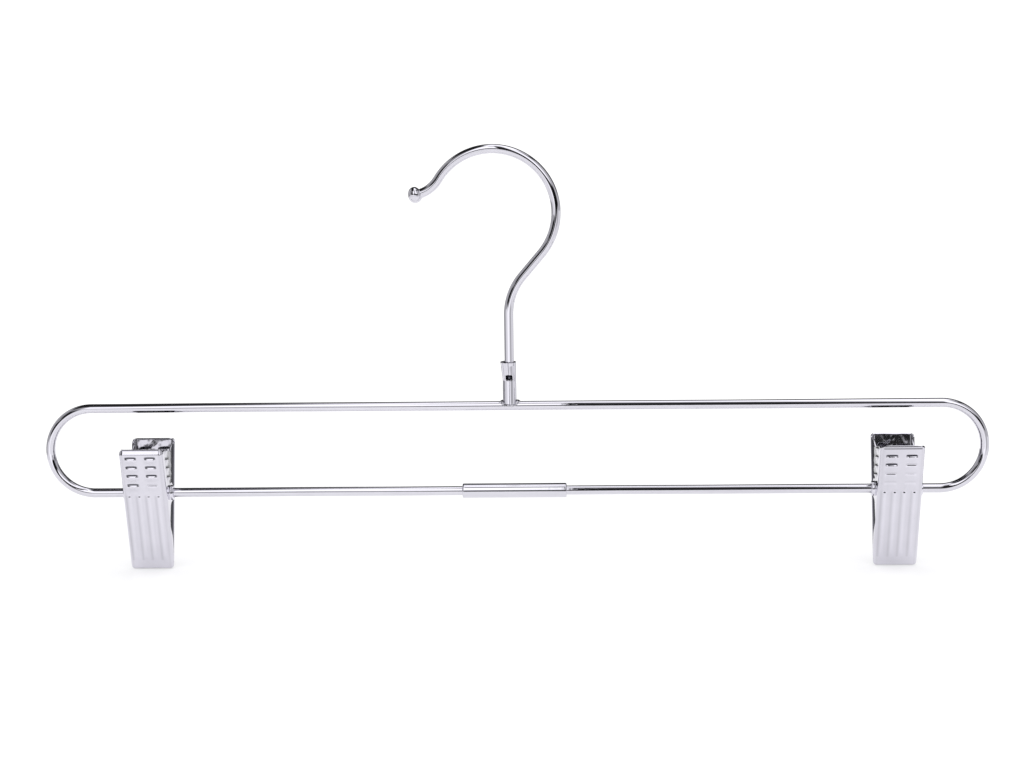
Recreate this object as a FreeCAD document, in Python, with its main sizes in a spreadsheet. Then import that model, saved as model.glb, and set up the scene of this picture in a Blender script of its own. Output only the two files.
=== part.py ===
# Chrome-plated steel wire hanger with two sliding spring clips, for skirts and
# trousers.  Millimetres, +Z up, +X along the rails, -Y towards the viewer.
# Origin: the seat of the hook, where the hanging rail touches the wire.
import FreeCAD, Part
import os, math, re
import Sketcher

V = FreeCAD.Vector
doc = FreeCAD.newDocument("wire_clip_hanger")

# ------------------------------------------------------------------ dimensions
DIMS = [
    # rod and hook
    ("wire_dia", 3.5, "hook and frame wire diameter"),
    ("hook_radius", 23.5, "hook bow, to the wire's centre line"),
    ("neck_radius", 22.0, "bend from the shank into the bow"),
    ("neck_straight", 10.9, "straight between neck bend and bow"),
    ("tip_radius", 12.0, "outward curl before the ball"),
    ("tip_x", -28.436, "centre of the ball, X"),
    ("tip_z", -14.821, "centre of the ball, Z"),
    ("ball_along", 4.6, "ball, length along the wire"),
    ("ball_across", 5.7, "ball, width across the wire"),
    ("swivel_x", 5.53, "axis of the shank and of the ferrule, X"),
    ("shank_foot_z", -91.6, "lower end of the shank, Z"),
    ("groove_dia", 2.4, "retaining groove of the shank"),
    ("groove_low_z", -84.4, "retaining groove, lower edge Z"),
    ("groove_len", 2.8, "retaining groove, height"),
    # wire frame
    ("frame_length", 355.6, "overall length of the wire frame"),
    ("frame_mid_x", 6.93, "middle of the frame, X"),
    ("frame_mid_z", -110.25, "middle of the frame, Z"),
    ("rail_pitch", 32.6, "upper to lower rail, centre to centre"),
    ("butt_gap", 0.6, "gap between the wire's two ends"),
    ("sleeve_len", 39.4, "joining sleeve length"),
    ("sleeve_dia", 5.5, "joining sleeve outside diameter"),
    ("sleeve_bore", 3.56, "joining sleeve bore"),
    ("sleeve_round", 0.5, "joining sleeve, rounded rim"),
    # swivel ferrule
    ("ferrule_dia", 5.14, "ferrule, lower tube outside diameter"),
    ("ferrule_bore", 3.6, "ferrule bore, running fit on the shank"),
    ("ferrule_foot_z", -93.35, "ferrule, lower end Z (saddles the rail)"),
    ("ferrule_top_z", -77.2, "ferrule, mouth Z"),
    ("cup_dia", 5.9, "ferrule, swelled mouth outside diameter"),
    ("cup_bore", 4.3, "ferrule, swelled mouth bore"),
    ("cup_len", 5.9, "ferrule, swelled mouth length"),
    ("window_wide", 2.8, "crimp window width"),
    ("window_high", 1.7, "crimp window height"),
    ("window_z", -82.95, "crimp window, middle Z"),
    ("tab_wide", 1.8, "crimp tab width"),
    ("tab_thick", 0.6, "crimp tab thickness"),
    ("tab_reach", 1.32, "crimp tab, distance of its edge from the axis"),
    ("weld_dia", 7.5, "weld collar outside diameter"),
    ("weld_low_z", -93.2, "weld collar, lower Z"),
    ("weld_high_z", -91.5, "weld collar, upper Z"),
    # clips
    ("left_clip_x", -132.25, "left clip, X"),
    ("right_clip_x", 150.58, "right clip, X"),
    ("jaw_wide", 16.6, "jaw plate width"),
    ("sheet", 0.6, "jaw sheet thickness"),
    ("jaw_slant", 12.93, "lean of each plate from upright, degrees"),
    ("face_dist", 7.355, "hinge axis to the outside of the plate"),
    ("jaw_up", 20.46, "plate length above the hinge axis"),
    ("jaw_down", 28.68, "plate length below the hinge axis"),
    ("bend_out", 0.9, "outer bend of the plate into its flange"),
    ("bend_in", 0.35, "inner bend of the plate into its flange"),
    ("ear_hole", 3.6, "hinge hole, running fit on the rail"),
    ("ear_r_front", 3.9, "front ear radius"),
    ("ear_r_back", 3.7, "back ear radius"),
    ("collar_dia", 5.6, "drawn collar of the front ear, outside diameter"),
    ("collar_len", 1.2, "drawn collar of the front ear, length"),
    ("joggle", 0.75, "inward step of the back jaw's flanges"),
    ("joggle_start", 0.95, "step begins this far from the plate's outside"),
    ("joggle_end", 1.75, "step ends this far from the plate's outside"),
    ("corner_x", 1.5, "lower corner cut, width"),
    ("corner_z", 3.7, "lower corner cut, height"),
    ("top_corner", 1.1, "upper corner cut"),
    # torsion spring
    ("spring_wire", 1.1, "spring wire diameter"),
    ("spring_mean_r", 2.75, "coil mean radius"),
    ("spring_pitch", 1.2, "coil pitch"),
    ("spring_turns", 4.3611, "coil turns"),
    ("spring_leg", 15.4, "leg length"),
    ("spring_leg_lean", 25.0, "leg lean from upright, degrees"),
]
sheet = doc.addObject("Spreadsheet::Sheet", "Dims")
sheet.Label = "Dims"
val = {}
for i, (name, value, note) in enumerate(DIMS, start=1):
    sheet.set("A%d" % i, note)
    sheet.set("B%d" % i, repr(float(value)))
    sheet.setAlias("B%d" % i, name)
    val[name] = float(value)
doc.recompute()


class Q:
    """A size: its number, and the expression that binds it to the sheet."""
    def __init__(self, v, t=None):
        self.v = float(v)
        self.t = t if t is not None else repr(float(v))
    @staticmethod
    def of(o):
        return o if isinstance(o, Q) else Q(o)
    def __add__(self, o):
        o = Q.of(o); return Q(self.v + o.v, "(%s + %s)" % (self.t, o.t))
    __radd__ = __add__
    def __sub__(self, o):
        o = Q.of(o); return Q(self.v - o.v, "(%s - %s)" % (self.t, o.t))
    def __rsub__(self, o):
        return Q.of(o) - self
    def __mul__(self, o):
        o = Q.of(o); return Q(self.v * o.v, "(%s * %s)" % (self.t, o.t))
    __rmul__ = __mul__
    def __truediv__(self, o):
        o = Q.of(o); return Q(self.v / o.v, "(%s / %s)" % (self.t, o.t))
    def __neg__(self):
        return Q(-self.v, "(-1 * %s)" % self.t)


def D(name):
    return Q(val[name], "Dims." + name)


def sind(q):
    return Q(math.sin(math.radians(q.v)), "sin(%s * 1deg)" % q.t)


def cosd(q):
    return Q(math.cos(math.radians(q.v)), "cos(%s * 1deg)" % q.t)


# ------------------------------------------------------------ sketch utilities
def plane(body, role):
    for f in body.Origin.OriginFeatures:
        if f.Role == role:
            return f
    raise RuntimeError(role)


def new_body(name):
    b = doc.addObject("PartDesign::Body", name)
    b.Label = name
    return b


def new_sketch(body, name, role, offset=None):
    """Sketch on one of the body's origin planes, moved along its normal."""
    sk = body.newObject("Sketcher::SketchObject", name)
    sk.AttachmentSupport = [(plane(body, role), "")]
    sk.MapMode = "FlatFace"
    if offset is not None:
        offset = Q.of(offset)
        sk.AttachmentOffset = FreeCAD.Placement(V(0, 0, offset.v), FreeCAD.Rotation())
        sk.setExpression("AttachmentOffset.Base.z", offset.t)
    return sk


def pin(sk, geo, pos, x=None, y=None):
    """Hold a sketch point at x, y with dimensions bound to the sheet."""
    for axis, q in (("DistanceX", x), ("DistanceY", y)):
        if q is None:
            continue
        q = Q.of(q)
        if abs(q.v) < 1e-9:
            sk.addConstraint(Sketcher.Constraint("PointOnObject", geo, pos,
                                                 -2 if axis == "DistanceX" else -1))
        elif q.v > 0:
            i = sk.addConstraint(Sketcher.Constraint(axis, -1, 1, geo, pos, q.v))
            sk.setExpression("Constraints[%d]" % i, q.t)
        else:
            i = sk.addConstraint(Sketcher.Constraint(axis, geo, pos, -1, 1, -q.v))
            sk.setExpression("Constraints[%d]" % i, (-q).t)


def polygon(sk, pts):
    """Closed outline through bound points."""
    n = len(pts)
    pts = [(Q.of(a), Q.of(b)) for a, b in pts]
    first = None
    for i in range(n):
        a, b = pts[i], pts[(i + 1) % n]
        g = sk.addGeometry(Part.LineSegment(V(a[0].v, a[1].v, 0), V(b[0].v, b[1].v, 0)), False)
        first = g if first is None else first
    for i in range(n):
        sk.addConstraint(Sketcher.Constraint("Coincident", first + i, 2, first + (i + 1) % n, 1))
    for i in range(n):
        pin(sk, first + i, 1, pts[i][0], pts[i][1])


def circle(sk, x, y, dia):
    x, y, dia = Q.of(x), Q.of(y), Q.of(dia)
    g = sk.addGeometry(Part.Circle(V(x.v, y.v, 0), V(0, 0, 1), dia.v / 2), False)
    i = sk.addConstraint(Sketcher.Constraint("Diameter", g, dia.v))
    sk.setExpression("Constraints[%d]" % i, dia.t)
    pin(sk, g, 3, x, y)


def radius(sk, geo, q):
    i = sk.addConstraint(Sketcher.Constraint("Radius", geo, q.v))
    sk.setExpression("Constraints[%d]" % i, q.t)


def settle(*objs):
    doc.recompute()
    for o in objs:
        if "Invalid" in o.State or "Error" in o.State:
            raise RuntimeError("%s: %s" % (o.Name, o.State))


def pad(body, sk, length, symmetric=False, reverse=False):
    p = body.newObject("PartDesign::Pad", sk.Name + "_pad")
    p.Profile = sk
    length = Q.of(length)
    p.Length = length.v
    p.setExpression("Length", length.t)
    if symmetric:
        if hasattr(p, "SideType"):
            p.SideType = "Symmetric"
        else:
            p.Midplane = True
    p.Reversed = reverse
    settle(p)
    return p


def cut_through(body, sk, reverse=False, length=None, symmetric=False):
    """Pocket, checked to have taken material away."""
    before = body.Shape.Volume
    p = body.newObject("PartDesign::Pocket", sk.Name + "_pocket")
    p.Profile = sk
    if length is None:
        p.Length = 400
    else:
        length = Q.of(length)
        p.Length = length.v
        p.setExpression("Length", length.t)
    if symmetric:
        if hasattr(p, "SideType"):
            p.SideType = "Symmetric"
        else:
            p.Midplane = True
    p.Reversed = reverse
    settle(p)
    if not body.Shape.Volume < before - 1e-4:
        raise RuntimeError(p.Name + " cut nothing")
    return p


def at(body, x=0, y=0, z=0, rot=None):
    body.Placement = FreeCAD.Placement(V(Q.of(x).v, Q.of(y).v, Q.of(z).v),
                                       rot or FreeCAD.Rotation())
    for k, q in (("x", x), ("y", y), ("z", z)):
        if isinstance(q, Q):
            body.setExpression("Placement.Base." + k, q.t)


d = D("wire_dia")

# ------------------------------------------------------------------------ hook
# One bent wire: shank, neck bend, short straight, bow, outward curl, ball.
hook = new_body("hook")
path = new_sketch(hook, "hook_path", "XZ_Plane")
sx, Rh, Rb, Ls, Rt = (D(k) for k in ("swivel_x", "hook_radius", "neck_radius",
                                     "neck_straight", "tip_radius"))
cz = -(Rh - d / 2)                       # centre of the bow
# neck angle: sx + Rb (1 - cos b) + Ls sin b = Rh cos b
A, B = Rh.v + Rb.v, Ls.v
b = math.acos((sx.v + Rb.v) / math.hypot(A, B)) - math.atan2(B, A)
# swing of the neck angle is found from the sizes; the sketch solves it too
for _ in range(60):
    f = sx.v + Rb.v * (1 - math.cos(b)) + Ls.v * math.sin(b) - Rh.v * math.cos(b)
    g = Rb.v * math.sin(b) + Ls.v * math.cos(b) + Rh.v * math.sin(b)
    b -= f / g
j2 = V(Rh.v * math.cos(b), cz.v - Rh.v * math.sin(b), 0)      # straight meets bow
j1 = j2 - V(Ls.v * math.sin(b), Ls.v * math.cos(b), 0)        # neck meets straight
c1 = V(sx.v + Rb.v, j1.y - Rb.v * math.sin(b), 0)             # centre of neck bend
tip = V(D("tip_x").v, D("tip_z").v, 0)
# the curl's centre lies Rh + Rt from the bow's centre and Rt from the ball
bow_c = V(0, cz.v, 0)
dv = tip - bow_c
L = dv.Length
ca = (L * L + (Rh.v + Rt.v) ** 2 - Rt.v ** 2) / (2 * L * (Rh.v + Rt.v))
base = math.atan2(dv.y, dv.x)
ang = base - math.acos(max(-1.0, min(1.0, ca)))
c3 = bow_c + V(math.cos(ang), math.sin(ang), 0) * (Rh.v + Rt.v)
a_end = math.atan2(c3.y - bow_c.y, c3.x - bow_c.x) % (2 * math.pi)
g0 = path.addGeometry(Part.LineSegment(V(sx.v, D("shank_foot_z").v, 0), V(sx.v, c1.y, 0)), False)
g1 = path.addGeometry(Part.ArcOfCircle(Part.Circle(c1, V(0, 0, 1), Rb.v), math.pi - b, math.pi), False)
g2 = path.addGeometry(Part.LineSegment(j1, j2), False)
g3 = path.addGeometry(Part.ArcOfCircle(Part.Circle(bow_c, V(0, 0, 1), Rh.v), -b, a_end), False)
s_start = math.atan2(tip.y - c3.y, tip.x - c3.x)
s_end = (a_end + math.pi)
while s_end < s_start:
    s_end += 2 * math.pi
while s_end - s_start > 2 * math.pi:
    s_end -= 2 * math.pi
g4 = path.addGeometry(Part.ArcOfCircle(Part.Circle(c3, V(0, 0, 1), Rt.v), s_start, s_end), False)
C = Sketcher.Constraint
path.addConstraint(C("Vertical", g0))
path.addConstraint(C("Tangent", g0, 2, g1, 2))
path.addConstraint(C("Tangent", g1, 1, g2, 1))
path.addConstraint(C("Tangent", g2, 2, g3, 1))
path.addConstraint(C("Tangent", g3, 2, g4, 2))
pin(path, g0, 1, sx, D("shank_foot_z"))
radius(path, g1, Rb)
radius(path, g3, Rh)
radius(path, g4, Rt)
i = path.addConstraint(C("Distance", g2, Ls.v))
path.setExpression("Constraints[%d]" % i, Ls.t)
pin(path, g3, 3, 0, cz)
pin(path, g4, 1, D("tip_x"), D("tip_z"))
prof = new_sketch(hook, "hook_section", "XY_Plane", D("shank_foot_z"))
circle(prof, sx, 0, d)
settle(path, prof)
pipe = hook.newObject("PartDesign::AdditivePipe", "hook_wire")
pipe.Profile = prof
pipe.Spine = path
settle(pipe)
# retaining groove near the foot of the shank
ring = new_sketch(hook, "shank_ring", "XY_Plane", D("groove_low_z"))
circle(ring, sx, 0, d + 1)
circle(ring, sx, 0, D("groove_dia"))
cut_through(hook, ring, reverse=True, length=D("groove_len"))
# upset ball at the tip
ball = hook.newObject("PartDesign::AdditiveEllipsoid", "tip_ball")
ball.Radius1 = D("ball_along").v / 2
ball.setExpression("Radius1", (D("ball_along") / 2).t)
ball.Radius2 = D("ball_across").v / 2
ball.setExpression("Radius2", (D("ball_across") / 2).t)
ball.Radius3 = D("ball_across").v / 2
ball.setExpression("Radius3", (D("ball_across") / 2).t)
curl_dir = math.degrees(math.atan2(tip.y - c3.y, tip.x - c3.x)) - 90.0
ball.MapMode = "Deactivated"
ball.Placement = FreeCAD.Placement(V(tip.x, 0, tip.y), FreeCAD.Rotation(V(0, 1, 0), 90.0 - curl_dir))
settle(ball)

# ------------------------------------------------------------------ wire frame
# One wire bent into a long loop; its ends meet in the middle of the lower rail.
frame = new_body("frame_wire")
fx, fz = D("frame_mid_x"), D("frame_mid_z")
r = D("rail_pitch") / 2
hx = D("frame_length") / 2 - d / 2 - r   # half length of the straight rails
gap = D("butt_gap") / 2
fp = new_sketch(frame, "frame_path", "XZ_Plane")
zt, zb = (fz + r), (fz - r)
a0 = fp.addGeometry(Part.LineSegment(V((fx - gap).v, zb.v, 0), V((fx - hx).v, zb.v, 0)), False)
a1 = fp.addGeometry(Part.ArcOfCircle(Part.Circle(V((fx - hx).v, fz.v, 0), V(0, 0, 1), r.v),
                                     math.pi / 2, 1.5 * math.pi), False)
a2 = fp.addGeometry(Part.LineSegment(V((fx - hx).v, zt.v, 0), V((fx + hx).v, zt.v, 0)), False)
a3 = fp.addGeometry(Part.ArcOfCircle(Part.Circle(V((fx + hx).v, fz.v, 0), V(0, 0, 1), r.v),
                                     -math.pi / 2, math.pi / 2), False)
a4 = fp.addGeometry(Part.LineSegment(V((fx + hx).v, zb.v, 0), V((fx + gap).v, zb.v, 0)), False)
fp.addConstraint(C("Tangent", a0, 2, a1, 2))
fp.addConstraint(C("Tangent", a1, 1, a2, 1))
fp.addConstraint(C("Tangent", a2, 2, a3, 2))
fp.addConstraint(C("Tangent", a3, 1, a4, 1))
pin(fp, a0, 1, fx - gap, zb)
pin(fp, a1, 3, fx - hx, fz)
radius(fp, a1, r)
pin(fp, a3, 3, fx + hx, fz)
pin(fp, a4, 2, fx + gap, None)
fs = new_sketch(frame, "frame_section", "YZ_Plane", fx - gap)
circle(fs, 0, zb, d)
settle(fp, fs)
fpipe = frame.newObject("PartDesign::AdditivePipe", "frame_bend")
fpipe.Profile = fs
fpipe.Spine = fp
settle(fpipe)

# -------------------------------------------------------------- joining sleeve
sleeve = new_body("joining_sleeve")
sk = new_sketch(sleeve, "sleeve_section", "YZ_Plane")
circle(sk, 0, 0, D("sleeve_dia"))
circle(sk, 0, 0, D("sleeve_bore"))
pad(sleeve, sk, D("sleeve_len"), symmetric=True)
rims = ["Edge%d" % (k + 1) for k, e in enumerate(sleeve.Shape.Edges)
        if hasattr(e.Curve, "Radius") and abs(e.Curve.Radius - val["sleeve_dia"] / 2) < 1e-6]
fil = sleeve.newObject("PartDesign::Fillet", "sleeve_rims")
fil.Base = (sleeve.Tip if False else doc.getObject("sleeve_section_pad"), rims)
fil.Radius = val["sleeve_round"]
fil.setExpression("Radius", "Dims.sleeve_round")
settle(fil)
at(sleeve, fx, 0, zb)

# ------------------------------------------------------------- swivel ferrule
# Rolled tube that saddles the upper rail, swelled at its mouth; a tab pressed
# in at the window rides in the shank's groove, so the hook turns but stays in.
ferrule = new_body("swivel_ferrule")
sk = new_sketch(ferrule, "ferrule_outline", "XZ_Plane")
ro, ri = D("ferrule_dia") / 2, D("ferrule_bore") / 2
co, ci = D("cup_dia") / 2, D("cup_bore") / 2
z0, z3 = D("ferrule_foot_z"), D("ferrule_top_z")
z1 = z3 - D("cup_len")
polygon(sk, [(ri, z0), (ro, z0), (ro, z1 - 0.5), (co, z1 + 0.2), (co, z3 - 0.3),
             (co - 0.3, z3), (ci, z3), (ci, z1 + 0.6), (ri, z1 - 0.1)])
settle(sk)
rev = ferrule.newObject("PartDesign::Revolution", "ferrule_turn")
rev.Profile = sk
rev.ReferenceAxis = (sk, ["V_Axis"])
rev.Angle = 360
settle(rev)
sk = new_sketch(ferrule, "ferrule_saddle", "YZ_Plane")
circle(sk, 0, zt, d)
cut_through(ferrule, sk, length=D("ferrule_dia") * 3, symmetric=True)
sk = new_sketch(ferrule, "ferrule_window", "XZ_Plane")
wz, ww, wh = D("window_z"), D("window_wide"), D("window_high")
polygon(sk, [(-ww / 2, wz - wh / 2), (ww / 2, wz - wh / 2), (ww / 2, wz + wh / 2), (-ww / 2, wz + wh / 2)])
cut_through(ferrule, sk, reverse=True, length=D("cup_dia"))
sk = new_sketch(ferrule, "crimp_tab", "XZ_Plane", D("tab_reach"))
tw, tt = D("tab_wide"), D("tab_thick")
polygon(sk, [(-tw / 2, wz + wh / 2 - tt), (tw / 2, wz + wh / 2 - tt),
             (tw / 2, wz + wh / 2 + 0.05), (-tw / 2, wz + wh / 2 + 0.05)])
pad(ferrule, sk, D("ferrule_dia") / 2 - D("tab_reach") - 0.05)
at(ferrule, sx, 0, 0)

# ----------------------------------------------------------------- weld collar
weld = new_body("ferrule_weld")
sk = new_sketch(weld, "weld_outline", "XZ_Plane")
wo = D("weld_dia") / 2
wl, wu = D("weld_low_z"), D("weld_high_z")
polygon(sk, [(ro, wl), (wo - 0.5, wl), (wo, wl + 0.45), (wo, wl + 0.9), (wo - 0.35, wu - 0.35), (ro, wu)])
settle(sk)
rev = weld.newObject("PartDesign::Revolution", "weld_turn")
rev.Profile = sk
rev.ReferenceAxis = (sk, ["V_Axis"])
rev.Angle = 360
settle(rev)
sk = new_sketch(weld, "weld_saddle", "YZ_Plane")
circle(sk, 0, zt, d)
cut_through(weld, sk, length=D("weld_dia") * 3, symmetric=True)
at(weld, sx, 0, 0)

# ------------------------------------------------------------------ clip jaws
# Each jaw is one stamping: a plate with two flanges; an ear of each flange
# turns on the lower rail.  In the jaw's own axes the plate stands upright with
# its outside at y = -face_dist, and the rail is the X axis.
th = math.radians(val["jaw_slant"])


def loc(y, z):
    """Clip axes (upright) to the jaw's own, leaned axes."""
    return (y * math.cos(th) + z * math.sin(th), -y * math.sin(th) + z * math.cos(th))


def jaw_body(name, front):
    body = new_body(name)
    w, t, fd = D("jaw_wide") / 2, D("sheet"), D("face_dist")
    up, down = D("jaw_up"), D("jaw_down")
    bo, bi = D("bend_out"), D("bend_in")
    reach = 7.0
    sk = new_sketch(body, name + "_channel", "XY_Plane", -down)
    if front:
        half = [(w - bo, -fd), (w - bo * 0.29, -fd + bo * 0.29), (w, -fd + bo), (w, reach),
                (w - t, reach), (w - t, -fd + t + bi), (w - t - bi, -fd + t)]
    else:
        jg, js, je = D("joggle"), D("joggle_start"), D("joggle_end")
        half = [(w - bo, -fd), (w - bo * 0.29, -fd + bo * 0.29), (w, -fd + js), (w - jg, -fd + je),
                (w - jg, reach), (w - jg - t, reach), (w - jg - t, -fd + je - 0.2),
                (w - t - bi * 0.7, -fd + t + 0.02)]
        half.append((w - t - bi - 0.9, -fd + t))
    pts = half + [(-Q.of(a), b_) for a, b_ in reversed(half)]
    polygon(sk, pts)
    pad(body, sk, up + down)
    # free edge of the flanges, as the region that is cut away
    if front:
        edge = [(-11.5, 18.9), (-9.9, 18.3), (1.2, 15.9), (1.9, 14.9), (1.9, 13.4), (0.6, 12.2), (1.9, 11.0), (2.2, 9.9),
                (0.3, 8.75), (1.7, 7.6), (1.9, 6.4), (-0.6, 5.3), (-2.6, 4.9)]
        er = val["ear_r_front"]
        edge += [(er * math.cos(math.radians(a)), er * math.sin(math.radians(a)))
                 for a in (105, 80, 55, 30, 5, -20, -45, -70, -92)]
        edge += [(-1.3, -4.7), (-2.9, -9.3), (-3.6, -11.8), (-1.7, -14.8), (-0.25, -17.2), (-0.12, -30.5)]
    else:
        edge = [(-11.5, 18.9), (-10.5, 18.3), (-7.0, 16.4), (-3.2, 14.0), (0.2, 11.0), (0.9, 9.6), (0.9, 4.6)]
        er = val["ear_r_back"]
        edge += [(er * math.cos(math.radians(a)), er * math.sin(math.radians(a)))
                 for a in (65, 40, 15, -15, -40, -65)]
        edge += [(0.6, -5.0), (0.2, -13.5), (-0.15, -17.2), (-0.12, -30.5)]
    edge = [loc(*p) for p in edge]
    sk = new_sketch(body, name + "_free_edge", "YZ_Plane")
    polygon(sk, edge + [(reach + 4, edge[-1][1]), (reach + 4, 24.0), (edge[0][0], 24.0)])
    cut_through(body, sk, length=D("jaw_wide") * 2, symmetric=True)
    # corners of the plate
    cx, czr, tc = D("corner_x"), D("corner_z"), D("top_corner")
    sk = new_sketch(body, name + "_corners", "XZ_Plane")
    for s in (1, -1):
        polygon(sk, [(s * (w - cx), -down), (s * (w - cx * 0.35), -down + 0.9), (s * w, -down + czr),
                     (s * (w + 1), -down + czr), (s * (w + 1), -down - 1), (s * (w - cx), -down - 1)])
        polygon(sk, [(s * (w - tc), up), (s * (w - tc * 0.3), up - tc * 0.3), (s * w, up - tc),
                     (s * (w + 1), up - tc), (s * (w + 1), up + 1), (s * (w - tc), up + 1)])
    cut_through(body, sk, length=60, symmetric=True)
    # hinge holes and, on the front jaw, their drawn collars
    if front:
        for s, tag in ((1, "r"), (-1, "l")):
            sk = new_sketch(body, name + "_collar_" + tag, "YZ_Plane", s * (w - 0.1))
            circle(sk, 0, 0, D("collar_dia"))
            pad(body, sk, D("collar_len") + 0.1, reverse=(s < 0))
    sk = new_sketch(body, name + "_hinge_hole", "YZ_Plane")
    circle(sk, 0, 0, D("ear_hole"))
    cut_through(body, sk, length=D("jaw_wide") * 2, symmetric=True)
    return body


for side, cxq in (("left", D("left_clip_x")), ("right", D("right_clip_x"))):
    fj = jaw_body(side + "_front_jaw", True)
    at(fj, cxq, 0, zb, FreeCAD.Rotation(V(1, 0, 0), val["jaw_slant"]))
    fj.setExpression("Placement.Rotation.Angle", "Dims.jaw_slant")
    bj = jaw_body(side + "_back_jaw", False)
    at(bj, cxq, 0, zb, FreeCAD.Rotation(V(0, 0, 1), 180).multiply(
        FreeCAD.Rotation(V(1, 0, 0), val["jaw_slant"])))

# -------------------------------------------------------------- torsion springs
# Coil round the rail between the ears; a leg presses each plate's upper half
# outwards.  Leg, coil and leg are one wire, so it is one pipe along one path.
def spring_shape():
    wire_r = sheet.get("spring_wire") / 2.0
    R = sheet.get("spring_mean_r")
    p = sheet.get("spring_pitch")
    n = sheet.get("spring_turns")
    leg = sheet.get("spring_leg")
    lean = math.radians(sheet.get("spring_leg_lean"))
    start = math.pi + lean
    slope = p / (2 * math.pi)            # advance along X per radian
    hx_ = Part.makeHelix(p, p * n, R)    # about +Z, begins on +X
    m = FreeCAD.Matrix()
    helix = hx_.copy()
    # +Z of the helix becomes +X; its start turns to the front leg's root
    rot = FreeCAD.Rotation(V(0, 1, 0), 90)
    helix.Placement = FreeCAD.Placement(V(-p * n / 2, 0, 0), rot)
    e = helix.Edges
    v0 = helix.Vertexes[0].Point
    a_now = math.atan2(v0.z, v0.y)
    helix.rotate(V(0, 0, 0), V(1, 0, 0), math.degrees(start - a_now))
    wires = helix.Wires[0] if helix.Wires else Part.Wire(helix.Edges)
    edges = wires.OrderedEdges if hasattr(wires, "OrderedEdges") else wires.Edges
    pts = [edges[0].valueAt(edges[0].FirstParameter), edges[-1].valueAt(edges[-1].LastParameter)]
    tg = [edges[0].tangentAt(edges[0].FirstParameter), edges[-1].tangentAt(edges[-1].LastParameter)]
    # order so that the first point is the front leg's root (lower X)
    if pts[0].x > pts[1].x:
        pts.reverse()
        tg = [-tg[1], -tg[0]]
    l0 = Part.makeLine(pts[0] - tg[0] * leg, pts[0])
    l1 = Part.makeLine(pts[1], pts[1] + tg[1] * leg)
    path_ = Part.Wire(Part.__sortEdges__([l0] + list(edges) + [l1]))
    a = pts[0] - tg[0] * leg
    prof_ = Part.Wire([Part.makeCircle(wire_r, a, tg[0])])
    mk = Part.BRepOffsetAPI.MakePipeShell(path_)
    mk.setBiNormalMode(V(1, 0, 0))
    mk.add(prof_, False, False)
    mk.build()
    mk.makeSolid()
    return mk.shape(), path_.Length, wire_r


for side, cxq in (("left", D("left_clip_x")), ("right", D("right_clip_x"))):
    shp, plen, wr = spring_shape()
    want = math.pi * wr * wr * plen
    if abs(abs(shp.Volume) - want) > 0.05 * want:
        raise RuntimeError("spring volume %.2f, expected %.2f" % (shp.Volume, want))
    f = doc.addObject("Part::Feature", side + "_torsion_spring")
    f.Label = side + "_torsion_spring"
    f.Shape = shp
    f.Placement = FreeCAD.Placement(V(cxq.v, 0, zb.v), FreeCAD.Rotation())

# ---------------------------------------------------------------------- output
doc.recompute()
bad = [o.Name for o in doc.Objects if "Invalid" in o.State or "Error" in o.State]
if bad:
    raise RuntimeError("failed objects: " + ", ".join(bad))
parts = [o for o in doc.Objects if o.TypeId == "PartDesign::Body"
         or (o.TypeId == "Part::Feature" and o.Label.endswith("_spring"))]
for o in parts:
    if o.Shape.isNull() or not o.Shape.isValid():
        raise RuntimeError(o.Label + " has no valid shape")
    if len(o.Shape.Solids) != 1:
        raise RuntimeError("%s has %d solids" % (o.Label, len(o.Shape.Solids)))
os.makedirs("parts", exist_ok=True)
for o in parts:
    o.Shape.exportStep("parts/%s.step" % o.Label)
    bb = o.Shape.BoundBox
    print("%-24s %9.2f mm3  x %8.2f..%8.2f  y %7.2f..%7.2f  z %8.2f..%8.2f" % (
        o.Label, o.Shape.Volume, bb.XMin, bb.XMax, bb.YMin, bb.YMax, bb.ZMin, bb.ZMax))
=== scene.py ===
import bpy
import bmesh
import math
import numpy as np
from mathutils import Matrix, Vector
from mathutils.geometry import delaunay_2d_cdt


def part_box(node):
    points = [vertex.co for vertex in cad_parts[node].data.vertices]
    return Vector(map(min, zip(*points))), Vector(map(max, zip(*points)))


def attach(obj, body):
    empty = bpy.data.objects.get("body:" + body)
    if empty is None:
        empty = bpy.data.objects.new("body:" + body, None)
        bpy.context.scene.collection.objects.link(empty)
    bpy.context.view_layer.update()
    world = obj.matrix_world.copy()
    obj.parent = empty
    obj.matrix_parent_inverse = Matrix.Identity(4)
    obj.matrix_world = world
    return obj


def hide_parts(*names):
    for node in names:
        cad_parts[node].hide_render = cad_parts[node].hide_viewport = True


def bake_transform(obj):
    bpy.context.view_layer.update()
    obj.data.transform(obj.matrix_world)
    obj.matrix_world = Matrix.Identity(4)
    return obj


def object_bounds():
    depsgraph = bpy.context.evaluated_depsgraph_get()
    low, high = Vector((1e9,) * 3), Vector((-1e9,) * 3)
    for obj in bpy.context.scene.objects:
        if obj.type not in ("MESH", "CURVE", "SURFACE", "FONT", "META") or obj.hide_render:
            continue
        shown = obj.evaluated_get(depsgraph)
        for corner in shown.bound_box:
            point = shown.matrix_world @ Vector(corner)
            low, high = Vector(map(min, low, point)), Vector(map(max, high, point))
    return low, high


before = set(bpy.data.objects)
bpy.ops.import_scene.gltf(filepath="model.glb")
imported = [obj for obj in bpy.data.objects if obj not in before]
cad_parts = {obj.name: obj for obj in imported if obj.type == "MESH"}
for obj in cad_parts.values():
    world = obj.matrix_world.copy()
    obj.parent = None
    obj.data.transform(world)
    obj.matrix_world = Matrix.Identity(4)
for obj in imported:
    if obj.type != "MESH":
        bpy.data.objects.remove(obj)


def plain(pair):
    return [[float(v) for v in corner] for corner in pair]


cad_box = plain(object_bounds())

MM = 0.001
sin, cos, pi = math.sin, math.cos, math.pi

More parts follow.
